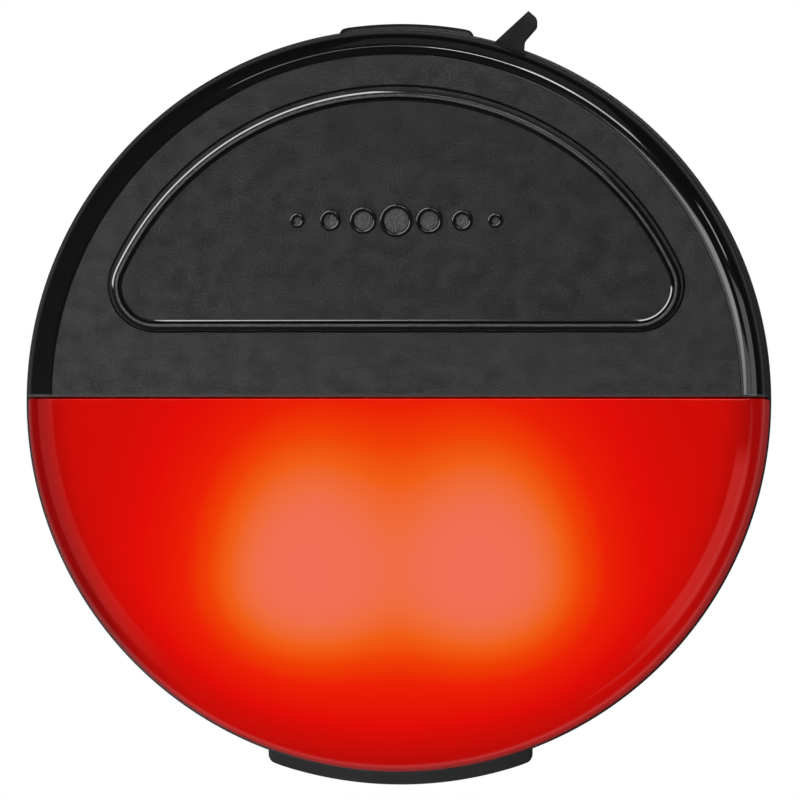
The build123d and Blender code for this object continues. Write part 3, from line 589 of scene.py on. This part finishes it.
# %% Back shell
def lathe(name, profile, points=256, centre=(0.0, 0.0)):
    """A profile of radius, y pairs turned about the Y axis: (r cos t, y, r sin t)."""
    turns = np.linspace(0, 2 * pi, points, endpoint=False)
    circle = np.stack([np.cos(turns), np.sin(turns)], axis=-1)
    return stack(name, [ring(np.array(centre) + radius * circle, y) for radius, y in profile], sharp=40)


BACK_ROUNDING = 1.2
shoulder = [
    (BODY_RADIUS - BACK_ROUNDING * (1 - cos(t)), -BACK_ROUNDING * (1 - sin(t)))
    for t in np.linspace(0, pi / 2, 10)
]
rim_profile = [(BODY_RADIUS - 0.12, SEAM), (BODY_RADIUS - 0.04, SEAM + 0.03), (BODY_RADIUS, SEAM + 0.12)]
inner_profile = [(0.5, -2.0), (18.0, -2.0), (23.3, -2.0), (23.35, SEAM)]
back_shell = lathe("back_shell_skin", inner_profile + rim_profile + shoulder + [(15.0, 0.0), (0.5, 0.0)])
SCREW_RING = 21.6
COUNTERBORE = [(2.0, -1.4), (2.0, -0.1), (2.12, 0.02), (2.12, 0.5)]
for angle in (50, 130, 230, 310):
    x, z = around_top(SCREW_RING, angle)
    cut(back_shell, lathe("counterbore", COUNTERBORE, 48, (x, z)))
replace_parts(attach(back_shell, "body"), "back_shell")


def side_ring(outline, x):
    """An outline of y, z pairs set at a place along X."""
    outline = np.asarray(outline)
    return np.stack([np.broadcast_to(x, len(outline)), outline[:, 0], outline[:, 1]], axis=-1)


EAR_RADIUS = 2.1
EAR_FOOT = 3.6
ear_turns = np.linspace(-pi / 2, pi / 2, 25)
ear_nose = [(PIVOT_Y + EAR_RADIUS * cos(t), PIVOT_Z + EAR_RADIUS * sin(t)) for t in ear_turns]
ear_low = [(-0.5, PIVOT_Z - EAR_FOOT), (0.0, PIVOT_Z - EAR_FOOT)]
ear_outline = np.array(ear_low + ear_nose + [(0.0, PIVOT_Z + EAR_FOOT), (-0.5, PIVOT_Z + EAR_FOOT)])
for name, near, far in (("left", -6.4, -4.4), ("right", 4.4, 6.4)):
    ear = prism(f"clip_ear_{name}", ear_outline, near, far, bevel=0.15, to_ring=side_ring)
    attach(ear, "body")
print("back shell faces", len(back_shell.data.polygons))

# %% [markdown]
# The clip lever is one long moulded strip. Its middle line is a path in the side view: the thumb tab,
# the long arm, the jaw and the lip that flares out. Across the path lies a rounded rectangle, and
# the strip's half-width narrows from the arm to the thumb tab. Both ends follow a circle about the
# light, so each line along the strip stops where it meets that circle.

# %% Clip lever
CLIP_PATH = ((6.5, 25.9), (7.0, 9.0), (6.5, -10.6), (2.0, -17.0), (2.0, -21.0), (5.6, -26.2))
PATH_RADII = (21, 11, 3.4, 3.4)
HALF_THICK = 0.98
ARM_HALF = 8.9
THUMB_HALF = 4.55
THUMB_OFFSET = 0.35
CLIP_REACH = 25.7
CLIP_CENTRE_Z = -0.1
STRIP_ROUNDING = 0.3
PLAN_CORNER = 0.45


def rounded_path(corners, radii, spacing=0.25):
    """Points along a path with its corners rounded by quadratic curves, then spaced evenly."""
    corners = np.asarray(corners, float)
    pieces = [corners[:1]]
    for index, radius in enumerate(radii, start=1):
        start, corner, end = corners[index - 1 : index + 2]
        to_start = (start - corner) / np.linalg.norm(start - corner)
        to_end = (end - corner) / np.linalg.norm(end - corner)
        reach = radius / np.tan(np.arccos(np.clip(to_start @ to_end, -1, 1)) / 2)
        t = np.linspace(0, 1, 16)[:, None]
        a, b = corner + to_start * reach, corner + to_end * reach
        pieces.append((1 - t) ** 2 * a + 2 * t * (1 - t) * corner + t**2 * b)
    line = np.concatenate(pieces + [corners[-1:]])
    length = np.concatenate([[0], np.cumsum(np.linalg.norm(np.diff(line, axis=0), axis=1))])
    even = np.linspace(0, length[-1], int(length[-1] / spacing))
    return np.stack([np.interp(even, length, line[:, k]) for k in (0, 1)], axis=-1)


def smooth_step(value, low, high):
    """0 below low, 1 above high, 3t^2 - 2t^3 between."""
    t = np.clip((value - low) / (high - low), 0, 1)
    return t * t * (3 - 2 * t)


path = rounded_path(CLIP_PATH, PATH_RADII)
quarter = np.linspace(0, pi / 2, 6)
span = np.linspace(-1, 1, 30)[1:-1]
side = np.concatenate([np.repeat(1, 6), -span, np.repeat(-1, 12), span, np.repeat(1, 6)])
cosine, sine, flat = np.cos(quarter), np.sin(quarter), 0 * span
corner_x = np.concatenate([cosine, flat, -sine, -cosine, flat, sine])
corner_y = np.concatenate([sine, flat + 1, cosine, -sine, flat - 1, -cosine])
level = np.repeat([1, -1], len(side) // 2)
through = level * (HALF_THICK - STRIP_ROUNDING) + STRIP_ROUNDING * corner_y


def across(half_width):
    """x of the section's points: the flat parts spread over the width, the corners keep their size."""
    return side * (half_width - STRIP_ROUNDING) + STRIP_ROUNDING * corner_x


def end_height(x, middle, half_width):
    """Height of the end circle above its centre at x, less the rounding of the strip's corners in plan:
    sqrt(R^2 - x^2) - (c - sqrt(c^2 - e^2)), where e is how far x is into the corner."""
    into = np.clip(np.abs(x - middle) - half_width + PLAN_CORNER, 0, PLAN_CORNER)
    return np.sqrt(CLIP_REACH**2 - x**2) - (PLAN_CORNER - np.sqrt(PLAN_CORNER**2 - into**2))


heights = path[:, 1]
narrow = smooth_step(heights, 13.6, 18.4)
half_width = ARM_HALF + (THUMB_HALF - ARM_HALF) * narrow
offset = THUMB_OFFSET * narrow
top_x = THUMB_OFFSET + across(THUMB_HALF)
low_x = across(ARM_HALF)
top_z = CLIP_CENTRE_Z + end_height(top_x, THUMB_OFFSET, THUMB_HALF)
low_z = CLIP_CENTRE_Z - end_height(low_x, 0, ARM_HALF)
lever_rings = []
travel = np.concatenate([[0], np.cumsum(np.linalg.norm(np.diff(path, axis=0), axis=1))])
start = np.interp(-top_z, -heights, travel)
stop = np.interp(-low_z, -heights, travel)
ROUND_END = 0.35
LOOK_AHEAD = 0.2
rows = np.concatenate([[0.0, 0.002, 0.006], np.linspace(0.012, 0.988, 150), [0.994, 0.998, 1.0]])


def along_path(at):
    """The middle line's y and z at a distance along it."""
    return np.stack([np.interp(at, travel, path[:, k]) for k in (0, 1)])


for row in rows:
    at = start + (stop - start) * row
    from_end = np.minimum(row, 1 - row) * (stop - start)
    soft = 0.75 + 0.25 * np.sqrt(1 - (1 - np.clip(from_end / ROUND_END, 0, 1)) ** 2)
    y, z = along_path(at)
    ahead = along_path(at + LOOK_AHEAD) - along_path(at - LOOK_AHEAD)
    ahead /= np.linalg.norm(ahead, axis=0)
    width = np.interp(at, travel, half_width)
    x = np.interp(at, travel, offset) + across(width)
    thick = through * soft
    z_skin = np.clip(z + ahead[0] * thick, low_z, top_z)
    lever_rings.append(np.stack([x, y - ahead[1] * thick, z_skin], axis=-1))
lever = stack("clip_lever_skin", lever_rings, sharp=50)
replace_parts(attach(lever, "clip"), "clip_lever")

knuckle_turns = np.linspace(pi / 2, 3 * pi / 2, 25)
knuckle_nose = [(PIVOT_Y + EAR_RADIUS * cos(t), PIVOT_Z + EAR_RADIUS * sin(t)) for t in knuckle_turns]
knuckle_outline = np.array([(6.6, PIVOT_Z + EAR_RADIUS), *knuckle_nose, (6.6, PIVOT_Z - EAR_RADIUS)])
for name, near, far in (("left", -8.88, -6.7), ("right", 6.7, 8.88)):
    knuckle = prism(f"clip_knuckle_{name}", knuckle_outline, near, far, bevel=0.15, to_ring=side_ring)
    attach(knuckle, "clip")

RIB_HEIGHTS = (18.5, 20.2, 21.9, 23.6)
RIB_HALF = 3.3
RIB_LEFT, RIB_RIGHT = THUMB_OFFSET - RIB_HALF, THUMB_OFFSET + RIB_HALF
for index, z in enumerate(RIB_HEIGHTS):
    y = np.interp(-z, -heights, path[:, 0]) + HALF_THICK
    rise = np.linspace(0, 2 * pi, 20, endpoint=False)
    rib_outline = np.stack([y - 0.1 + 0.42 * np.cos(rise), z + 0.45 * np.sin(rise)], axis=-1)
    rib = prism(f"thumb_rib_{index + 1}", rib_outline, RIB_LEFT, RIB_RIGHT, bevel=0.3, to_ring=side_ring)
    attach(rib, "clip")
print("clip lever faces", len(lever.data.polygons), "ribs", len(RIB_HEIGHTS))

# %% [markdown]
# The hinge pin is a steel rod with chamfered ends, and the torsion spring round it is drawn wire: a
# helix with one leg down the back face and one up the thumb tab. The spring runs across the joint, from
# the body at one end of its coil to the lever at the other, but it belongs to neither and keeps one shape.

# %% Hinge pin and torsion spring
def tube(name, line, radius, around=14):
    """A round wire along a line: ring i is radius * (cos t * side + sin t * up) about point i, where
    side is square to the line and to a fixed direction."""
    line = np.asarray(line, float)
    ahead = np.gradient(line, axis=0)
    ahead /= np.linalg.norm(ahead, axis=1, keepdims=True)
    up = np.tile([1.0, 0.02, 0.01], (len(line), 1))
    side = np.cross(ahead, up)
    side /= np.linalg.norm(side, axis=1, keepdims=True)
    up = np.cross(side, ahead)
    turns = np.linspace(0, 2 * pi, around, endpoint=False)
    rings = line[:, None] + radius * (
        np.cos(turns)[None, :, None] * side[:, None] + np.sin(turns)[None, :, None] * up[:, None]
    )
    return stack(name, rings, sharp=60)


pin_turns = np.linspace(0, 2 * pi, 48, endpoint=False)
pin_circle = np.stack([np.cos(pin_turns), np.sin(pin_turns)], axis=-1)
pin_profile = ((0.8, -8.7), (1.0, -8.5), (1.0, 8.5), (0.8, 8.7))
pin = stack("hinge_pin_rod", [side_ring((PIVOT_Y, PIVOT_Z) + r * pin_circle, x) for r, x in pin_profile])
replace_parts(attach(pin, "body"), "hinge_pin")

COIL_RADIUS = 1.75
WIRE_RADIUS = 0.3
COIL_TURNS = 7.5
COIL_HALF = 2.7
wind = np.linspace(0, 1, 420)
angle = -pi / 2 - wind * COIL_TURNS * 2 * pi
coil_y, coil_z = PIVOT_Y + COIL_RADIUS * np.sin(angle), PIVOT_Z + COIL_RADIUS * np.cos(angle)
coil = np.stack([-COIL_HALF + 2 * COIL_HALF * wind, coil_y, coil_z], axis=-1)
leg = np.linspace(1, 0, 24, endpoint=False)[:, None]
back_leg = coil[0] + leg * np.array([0.0, -1.2, -7.6])
thumb_leg = coil[-1] + leg[::-1] * np.array([0.0, 0.1, 7.6])
spring = tube("torsion_spring_wire", np.concatenate([back_leg, coil, thumb_leg]), WIRE_RADIUS)
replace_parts(spring, "torsion_spring")
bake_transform(spring)
print("spring turns", COIL_TURNS)

# %% [markdown]
# Finishes are small sums on the surface's own coordinates. A Signal wraps one number that varies over
# the surface, so plain Python operators build the Math nodes, and a Finish owns the node tree and makes
# every other node in one place.

# %% Shader arithmetic
class Signal:
    """A varying number in a shader: operators on it add Math nodes."""

    def __init__(self, finish, socket):
        self.finish, self.socket = finish, socket

    def math(self, operation, other=None, swap=False):
        pair = [other, self] if swap else [self, other]
        given = {index: value for index, value in enumerate(pair) if value is not None}
        node = self.finish.node("ShaderNodeMath", {"operation": operation}, given)
        return Signal(self.finish, node.outputs[0])

    def __add__(self, other):
        return self.math("ADD", other)

    def __sub__(self, other):
        return self.math("SUBTRACT", other)

    def __rsub__(self, other):
        return self.math("SUBTRACT", other, swap=True)

    def __mul__(self, other):
        return self.math("MULTIPLY", other)

    def __truediv__(self, other):
        return self.math("DIVIDE", other)

    def __rtruediv__(self, other):
        return self.math("DIVIDE", other, swap=True)

    def __pow__(self, other):
        return self.math("POWER", other)

    def at_least(self, other):
        return self.math("MAXIMUM", other)

    def at_most(self, other):
        return self.math("MINIMUM", other)

    def sqrt(self):
        return self.math("SQRT")

    def step(self, low, high):
        """A soft step: 0 below low, 1 above high."""
        settings = {"interpolation_type": "SMOOTHSTEP"}
        inputs = {"Value": self, "From Min": low, "From Max": high}
        node = self.finish.node("ShaderNodeMapRange", settings, inputs)
        return Signal(self.finish, node.outputs["Result"])

    __radd__, __rmul__ = __add__, __mul__


class Finish:
    """One material and its tree of nodes."""

    def __init__(self, name, **shader):
        self.material = bpy.data.materials.new(name)
        self.material.use_nodes = True
        self.tree = self.material.node_tree
        self.shader = self.tree.nodes["Principled BSDF"]
        self.set(**shader)

    def node(self, kind, settings=None, inputs=None):
        """Any node: its settings first, then the values or links of its sockets."""
        node = self.tree.nodes.new(kind)
        for key, value in (settings or {}).items():
            if key == "stops":
                ramp = node.color_ramp
                while len(ramp.elements) < len(value):
                    ramp.elements.new(0.5)
                for element, (place, colour) in zip(ramp.elements, value):
                    element.position, element.color = place, (*colour, 1)
            else:
                setattr(node, key, value)
        for key, value in (inputs or {}).items():
            self.link(value, node.inputs[key])
        return node

    def link(self, value, socket):
        if isinstance(value, Signal):
            value = value.socket
        if isinstance(value, bpy.types.NodeSocket):
            self.tree.links.new(value, socket)
        else:
            socket.default_value = value

    def set(self, **inputs):
        """Set or link the shader's sockets, with underscores for the spaces in their names."""
        for key, value in inputs.items():
            value = (*value, 1) if isinstance(value, tuple) and len(value) == 3 else value
            self.link(value, self.shader.inputs[key.replace("_", " ").title().replace("Ior", "IOR")])

    def place(self):
        """The point's x, y, z in millimetres."""
        where = self.node("ShaderNodeTexCoord").outputs["Object"]
        parts = self.node("ShaderNodeSeparateXYZ", None, {0: where}).outputs
        return [Signal(self, part) / MM for part in parts]

    def attribute(self, name):
        return Signal(self, self.node("ShaderNodeAttribute", {"attribute_name": name}).outputs["Fac"])

    def noise(self, size_mm, detail=4.0, roughness=0.55, stretch=(1, 1, 1)):
        """Fractal noise whose grains are about size_mm wide, from 0 to 1."""
        where = self.node("ShaderNodeTexCoord").outputs["Object"]
        scaled = self.node("ShaderNodeMapping", None, {"Vector": where, "Scale": stretch}).outputs[0]
        inputs = {"Vector": scaled, "Scale": 1 / (size_mm * MM), "Detail": detail, "Roughness": roughness}
        return Signal(self, self.node("ShaderNodeTexNoise", None, inputs).outputs[0])

    def mix(self, factor, first, second):
        """A colour between two colours, each a triple or a socket."""
        node = self.node("ShaderNodeMix", {"data_type": "RGBA"})
        for key, value in ((0, factor), (6, first), (7, second)):
            self.link((*value, 1) if isinstance(value, tuple) else value, node.inputs[key])
        return node.outputs[2]

    def ramp(self, factor, stops):
        return self.node("ShaderNodeValToRGB", {"stops": stops}, {"Fac": factor}).outputs[0]

    def bump(self, height, distance_mm, strength=1.0):
        inputs = {"Height": height, "Distance": distance_mm * MM, "Strength": strength}
        self.set(normal=self.node("ShaderNodeBump", None, inputs).outputs[0])

    def on(self, *pieces):
        """Put this finish on each piece, a mesh object or a node's name."""
        for piece in pieces:
            piece = frame["nodes"][piece] if isinstance(piece, str) else piece
            piece.data.materials.clear()
            piece.data.materials.append(self.material)
        print(self.material.name, "on", len(pieces), "pieces")


# %% [markdown]
# The housing and the button are one black plastic with two textures from the mould: a fine spark-eroded
# matte on the faces and a mirror polish on the rim and the bead. The polish attribute blends them, so
# both come from one material. Two sizes of noise give the matte its grain and its slight mottle. The
# lowest tenth of a millimetre of the housing is painted lighter: it stands in for the light that the
# fine edge along the joint catches.

# %% Black plastic, matte and polished
PAINTED_EDGE = (SPLIT_UP + 0.1, SPLIT_UP + 0.2)
finish = Finish("black_plastic", specular_ior_level=0.5)
matte = 1 - finish.attribute("polish")
grain = finish.noise(0.14, 3, 0.6).step(0.35, 0.65)
mottle = finish.noise(1.1, 5, 0.65).step(0.3, 0.7)
painted = (1 - finish.place()[2].step(*PAINTED_EDGE)) * 4
shade = (0.3 + 0.45 * mottle + 0.4 * grain) * matte + painted
finish.set(base_color=finish.mix(shade, (0.003, 0.003, 0.0032), (0.0245, 0.0245, 0.0248)))
finish.set(roughness=0.07 + matte * (0.4 + 0.12 * mottle))
finish.bump((grain + 0.4 * mottle) * matte, 0.06, 1.0)
finish.on(housing, button, bead, *pips)

# %% [markdown]
# The lens's glow is painted light: its emission colour stands in for two lamps that light it from behind.
# Their light spreads in the milky sheet as two soft discs, so the glow falls with distance from each lamp
# as 1 / (1 + (d / w)^p), a little further upward than downward, and two lamps together leave
# 1 - (1 - a)(1 - b). A ramp turns glow into the colours of red plastic lit more and more strongly: deep
# red, orange, then a pale salmon core. The glow is made weaker towards the rim and down the side wall,
# and painted shade darkens the left of the rounding. Where the lens meets its own side wall a ring is
# mixed towards a paler, milky red, most of all on the right: a painted reflection on the rounding.

# %% Glowing lens
GLOW_WIDTH = 7.4
GLOW_POWER = 4.1
GLOW_Z = LAMP_Z - 0.6
REACH_UP = 0.75
REACH_DOWN = 1.2
FAR_GLOW = 0.14
GLOW_STOPS = (
    (0.0, (0.22, 0.002, 0.002)),
    (0.13, (0.54, 0.003, 0.0015)),
    (0.26, (0.72, 0.003, 0.001)),
    (0.46, (0.8, 0.013, 0.0005)),
    (0.64, (0.83, 0.05, 0.0005)),
    (0.8, (0.84, 0.11, 0.007)),
    (0.92, (0.84, 0.148, 0.045)),
    (1.0, (0.84, 0.16, 0.093)),
)
glowing = Finish("red_lens_lit", base_color=(0.02, 0.0, 0.0), specular_ior_level=0.5)
x, y, z = glowing.place()
from_middle = (x * x + z * z).sqrt()
dark = 1.0
for lamp_x in (-LAMP_X, LAMP_X):
    rise = z - GLOW_Z
    tall = rise.at_least(0) * REACH_UP + rise.at_most(0) * REACH_DOWN
    wide = x - lamp_x
    distance = (wide * wide + tall * tall).sqrt()
    lit = 1 / (1 + (distance / GLOW_WIDTH) ** GLOW_POWER)
    dark = (1 - lit) * dark
glow = FAR_GLOW + (1 - FAR_GLOW) * (1 - dark)
glow = glow - 0.12 * from_middle.step(20.5, 24.6) - 0.1 * y.step(-13.5, -5.0)
glow = glow + 0.02 * (glowing.noise(6.0, 2) - 0.5)
# Painted shade: the left of the lens's rounding is darker.
glow = glow - 0.12 * from_middle.step(22.6, 24.6) * (1 - x.step(-22.0, -12.0))
# Painted reflection: a ring on the rounding turns a paler, milky red, most of all on the right.
wall = from_middle.step(22.85, 23.05) * (1 - from_middle.step(23.8, 24.0))
on_right = x.step(8.0, 15.0) * z.step(-18.0, -13.0) * (1 - z.step(-5.0, -2.5))
painted_rim_reflection = wall * (0.42 * on_right + 0.25 * (1 - x.step(-20.0, -14.0)))
lit_colour = glowing.mix(painted_rim_reflection, glowing.ramp(glow, GLOW_STOPS), (0.62, 0.04, 0.035))
glowing.set(emission_color=lit_colour, emission_strength=1.0)
glowing.set(roughness=0.05 + 0.05 * glowing.noise(3.0))
glowing.on(lens)

# %% [markdown]
# The back shell and the clip are satin black with the faint grain of a moulded part. The grain runs in
# the bump and in the roughness, and a slow drift changes both the shade and the roughness a little.

# %% Satin black shell and clip
satin = Finish("satin_black", specular_ior_level=0.5)
satin_grain, satin_drift = satin.noise(0.22, 4), satin.noise(4.0, 3)
satin.set(base_color=satin.mix(satin_drift, (0.008, 0.008, 0.009), (0.02, 0.02, 0.021)))
satin.set(roughness=0.32 + 0.12 * satin_grain + 0.1 * satin_drift)
satin.bump(satin_grain, 0.02, 0.5)
details = [o for o in bpy.data.objects if o.name.startswith(("clip_ear", "clip_knuckle", "thumb_rib"))]
satin.on(back_shell, lever, *details)

# %% [markdown]
# The flap, its anchor and the clip's pad are soft black rubber: dull, very dark, with a dusty bloom
# that gathers in patches.

# %% Black rubber
rubber = Finish("black_rubber", specular_ior_level=0.35)
bloom, speck = rubber.noise(1.8, 4), rubber.noise(0.12, 2)
rubber.set(base_color=rubber.mix(bloom.step(0.4, 0.75), (0.009, 0.009, 0.009), (0.022, 0.022, 0.022)))
rubber.set(roughness=0.5 + 0.2 * speck)
rubber.bump(speck, 0.015, 0.6)
rubber.on(flap_band, anchor_band, pull_tab, plug, "clip_pad")

# %% [markdown]
# Metals come next, all with fine drawing marks: bright steel for the pin, socket, snap dome and switch
# cover, darker wire for the spring, nickel strips and pale foil on the cell, and blackened screws.

# %% Metals
def drawn_metal(name, dark_colour, light_colour, stretch):
    finish = Finish(name, metallic=1.0)
    marks = finish.noise(0.4, 5, 0.65, stretch)
    finish.set(base_color=finish.mix(marks, dark_colour, light_colour))
    finish.set(roughness=0.2 + 0.22 * marks)
    finish.bump(marks, 0.006, 0.5)
    return finish


steel = drawn_metal("drawn_steel", (0.42, 0.42, 0.43), (0.7, 0.7, 0.7), (0.15, 1, 1))
steel.on(pin, "usb_socket", "switch_cover", "snap_dome")
drawn_metal("spring_wire", (0.35, 0.35, 0.36), (0.62, 0.62, 0.62), (1, 1, 1)).on(spring)
drawn_metal("black_oxide", (0.03, 0.03, 0.032), (0.09, 0.09, 0.095), (1, 1, 1)).on("case_screws")
drawn_metal("nickel_strip", (0.5, 0.47, 0.4), (0.72, 0.68, 0.6), (1, 1, 0.2)).on("battery_tabs")
drawn_metal("cell_foil", (0.55, 0.55, 0.57), (0.78, 0.78, 0.8), (0.6, 1, 0.6)).on("battery_cell")

# %% [markdown]
# The inside hardly shows, but it is finished all the same: green solder mask with faint copper traces
# under it, moulded chips, ceramic parts, white lamp packages with clear domes, the bright tray and the
# milky sheet.

# %% Inside
board = Finish("green_board", roughness=0.35)
bx, _, bz = board.place()
trace = ((bx * 2.2).math("SINE").step(0.75, 0.95) * (bz * 0.7).math("SINE").step(-0.2, 0.0)).at_most(1)
board.set(base_color=board.mix(trace, (0.012, 0.11, 0.035), (0.035, 0.21, 0.08)))
board.bump(trace, 0.02)
board.on("circuit_board")


def moulded(name, low, high, grain_mm, roughness):
    """A plain moulded finish: a drift between two shades and a fine grain."""
    finish = Finish(name)
    drift, grain = finish.noise(grain_mm * 12), finish.noise(grain_mm)
    finish.set(base_color=finish.mix(drift, low, high), roughness=roughness + 0.1 * grain)
    finish.bump(grain, 0.01, 0.5)
    return finish


moulded("chip_black", (0.012, 0.012, 0.013), (0.03, 0.03, 0.03), 0.1, 0.5).on(
    "controller_chip", "charge_chip", "switch_base", "usb_tongue"
)
moulded("ceramic_tan", (0.36, 0.27, 0.18), (0.5, 0.4, 0.3), 0.1, 0.35).on("board_parts")
moulded("white_moulding", (0.78, 0.78, 0.77), (0.84, 0.84, 0.83), 0.2, 0.35).on(
    "reflector_tray", "lamp_left", "lamp_right"
)
moulded("milky_sheet", (0.8, 0.76, 0.75), (0.86, 0.82, 0.81), 0.3, 0.45).on("diffuser_sheet")
moulded("grey_silicone", (0.2, 0.2, 0.2), (0.27, 0.27, 0.27), 0.2, 0.5).on("button_seal", "case_seal")
moulded("grey_foam", (0.03, 0.03, 0.03), (0.07, 0.07, 0.07), 0.25, 0.8).on("battery_foam")
moulded("plunger_black", (0.015, 0.015, 0.015), (0.03, 0.03, 0.03), 0.1, 0.3).on("switch_plunger")
domes = Finish("clear_dome", base_color=(0.98, 0.93, 0.92), transmission_weight=1.0, ior=1.5)
domes.set(roughness=0.04 + 0.04 * domes.noise(1.0))
domes.on("lamp_dome_left", "lamp_dome_right")

# %% [markdown]
# The set is a pale floor some way below the light and a surround that is white to the camera and through
# clear pieces. The floor is four-fifths white to the camera, so its shadow is faint. Mirrored rays see
# neither: they see a nearly black surround with a grey band behind the light. That keeps the polished
# rim black, at the price that metal doesn't mirror the white background.

# %% Floor and surround
FLOOR_DROP = 0.045
FLOOR_HALF = 2.0
FLOOR_WHITE = 0.8
FLOOR_Z = cad_box[0][2] - FLOOR_DROP
corners = [(-1, -1), (1, -1), (1, 1), (-1, 1)]
floor_mesh = bpy.data.meshes.new("floor")
floor_points = [(FLOOR_HALF * a, FLOOR_HALF * b, FLOOR_Z) for a, b in corners]
floor_mesh.from_pydata(floor_points, [], [(0, 1, 2, 3)])
floor = bpy.data.objects.new("floor", floor_mesh)
bpy.context.scene.collection.objects.link(floor)
floor.visible_glossy = False
paper = Finish("floor_paper", roughness=0.9, specular_ior_level=0.1)
paper.set(base_color=paper.mix(paper.noise(30), (0.8, 0.8, 0.8), (0.83, 0.83, 0.83)))
white = paper.node("ShaderNodeEmission", None, {"Color": (1, 1, 1, 1), "Strength": 1.0})
shown = Signal(paper, paper.node("ShaderNodeLightPath").outputs["Is Camera Ray"]) * FLOOR_WHITE
blend = paper.node("ShaderNodeMixShader", None, {0: shown, 1: paper.shader.outputs[0], 2: white.outputs[0]})
paper.tree.links.new(blend.outputs[0], paper.tree.nodes["Material Output"].inputs["Surface"])
floor.data.materials.append(paper.material)

AMBIENT = 0.5
DARK_CARDS = 0.02
GREY_BAND = 0.12


class Surround(Finish):
    """The world's tree, with the same helpers."""

    def __init__(self, world):
        world.use_nodes = True
        self.tree = world.node_tree
        self.shader = self.tree.nodes["Background"]


world = bpy.data.worlds.new("surround")
bpy.context.scene.world = world
sky = Surround(world)
path_kind = sky.node("ShaderNodeLightPath").outputs
glossy = Signal(sky, path_kind["Is Glossy Ray"])
seen = Signal(sky, path_kind["Is Camera Ray"]).at_least(Signal(sky, path_kind["Is Transmission Ray"]))
direction = sky.node("ShaderNodeTexCoord").outputs["Generated"]
toward = Signal(sky, sky.node("ShaderNodeSeparateXYZ", None, {0: direction}).outputs[1])
band = toward.step(0.35, 0.6) * (1 - toward.step(0.93, 0.98))
level = (glossy * (DARK_CARDS + GREY_BAND * band) + (1 - glossy) * AMBIENT).at_least(seen)
sky.set(strength=level, color=(1.0, 1.0, 1.0))
print("floor", round(-FLOOR_Z / MM, 1), "mm below the middle")

# %% [markdown]
# Fourteen lamps shape the black. Three narrow strips above draw the line along the rim, and two dim
# cards grey its rounding. Four more on the right reach the housing alone and draw the streaks there. A
# strip on the upper left reaches the bead and the pips alone. Four soft lamps have no mirror image: near
# the lower left, on the button and the pips alone, in front, and behind for the clip and the back shell.
# No real lamp reaches only chosen pieces as cleanly as six of these do.

# %% Lamps
def area_lamp(name, off_axis, clock, distance, width, height, power, mirrored=True):
    """An area lamp aimed at the light: off_axis is its angle from the viewing axis and clock its angle
    round it, clockwise from the top. Its width runs round that axis and its height away from it."""
    data = bpy.data.lights.new(name, "AREA")
    data.shape, data.size, data.size_y, data.energy = "RECTANGLE", width, height, power
    lamp = bpy.data.objects.new(name, data)
    bpy.context.scene.collection.objects.link(lamp)
    tilt, turn = radians(off_axis), radians(clock)
    lamp.location = distance * np.array([sin(tilt) * sin(turn), -cos(tilt), sin(tilt) * cos(turn)])
    facing = -lamp.location.normalized()
    along = Vector((cos(turn), 0, -sin(turn)))
    lamp.rotation_euler = Matrix((along, along.cross(facing), -facing)).transposed().to_euler()
    lamp.visible_glossy = mirrored
    return lamp


def light_only(lamp, *pieces):
    """Let a lamp reach only these pieces."""
    reached = bpy.data.collections.new(lamp.name + "_reaches")
    for piece in pieces:
        reached.objects.link(piece)
    lamp.light_linking.receiver_collection = reached


area_lamp("line_top_left", 31, -4, 0.6, 0.28, 0.035, 0.2)
area_lamp("line_top", 31, 16, 0.6, 0.14, 0.035, 0.3)
area_lamp("line_top_right", 33, 30, 0.6, 0.13, 0.09, 0.36)
area_lamp("card_top", 62, 14, 0.6, 0.45, 0.4, 0.14)
area_lamp("card_lower_right", 42, 118, 0.6, 0.42, 0.2, 0.06)
light_only(area_lamp("streak_inner", 12, 66, 0.6, 0.06, 0.2, 0.2), housing)
light_only(area_lamp("streak_outer", 64, 61, 0.6, 0.09, 0.08, 0.12), housing)
light_only(area_lamp("card_right_near", 24, 89, 0.6, 0.1, 0.33, 0.16), housing)
light_only(area_lamp("card_right_far", 57, 87, 0.6, 0.3, 0.33, 0.55), housing)
light_only(area_lamp("strip_upper_left", 66, -45, 0.5, 0.84, 0.22, 7.5), bead, *pips)
area_lamp("soft_lower_left", 50, -125, 0.11, 0.08, 0.08, 0.22, mirrored=False)
light_only(area_lamp("soft_button", 16, 60, 0.8, 0.5, 0.5, 0.35, mirrored=False), button, *pips)
area_lamp("soft_front", 22, -138, 0.8, 0.5, 0.5, 2.3, mirrored=False)
area_lamp("soft_behind", 145, 40, 0.8, 0.5, 0.5, 3.0, mirrored=False)
print("lamps", len(bpy.data.lights))
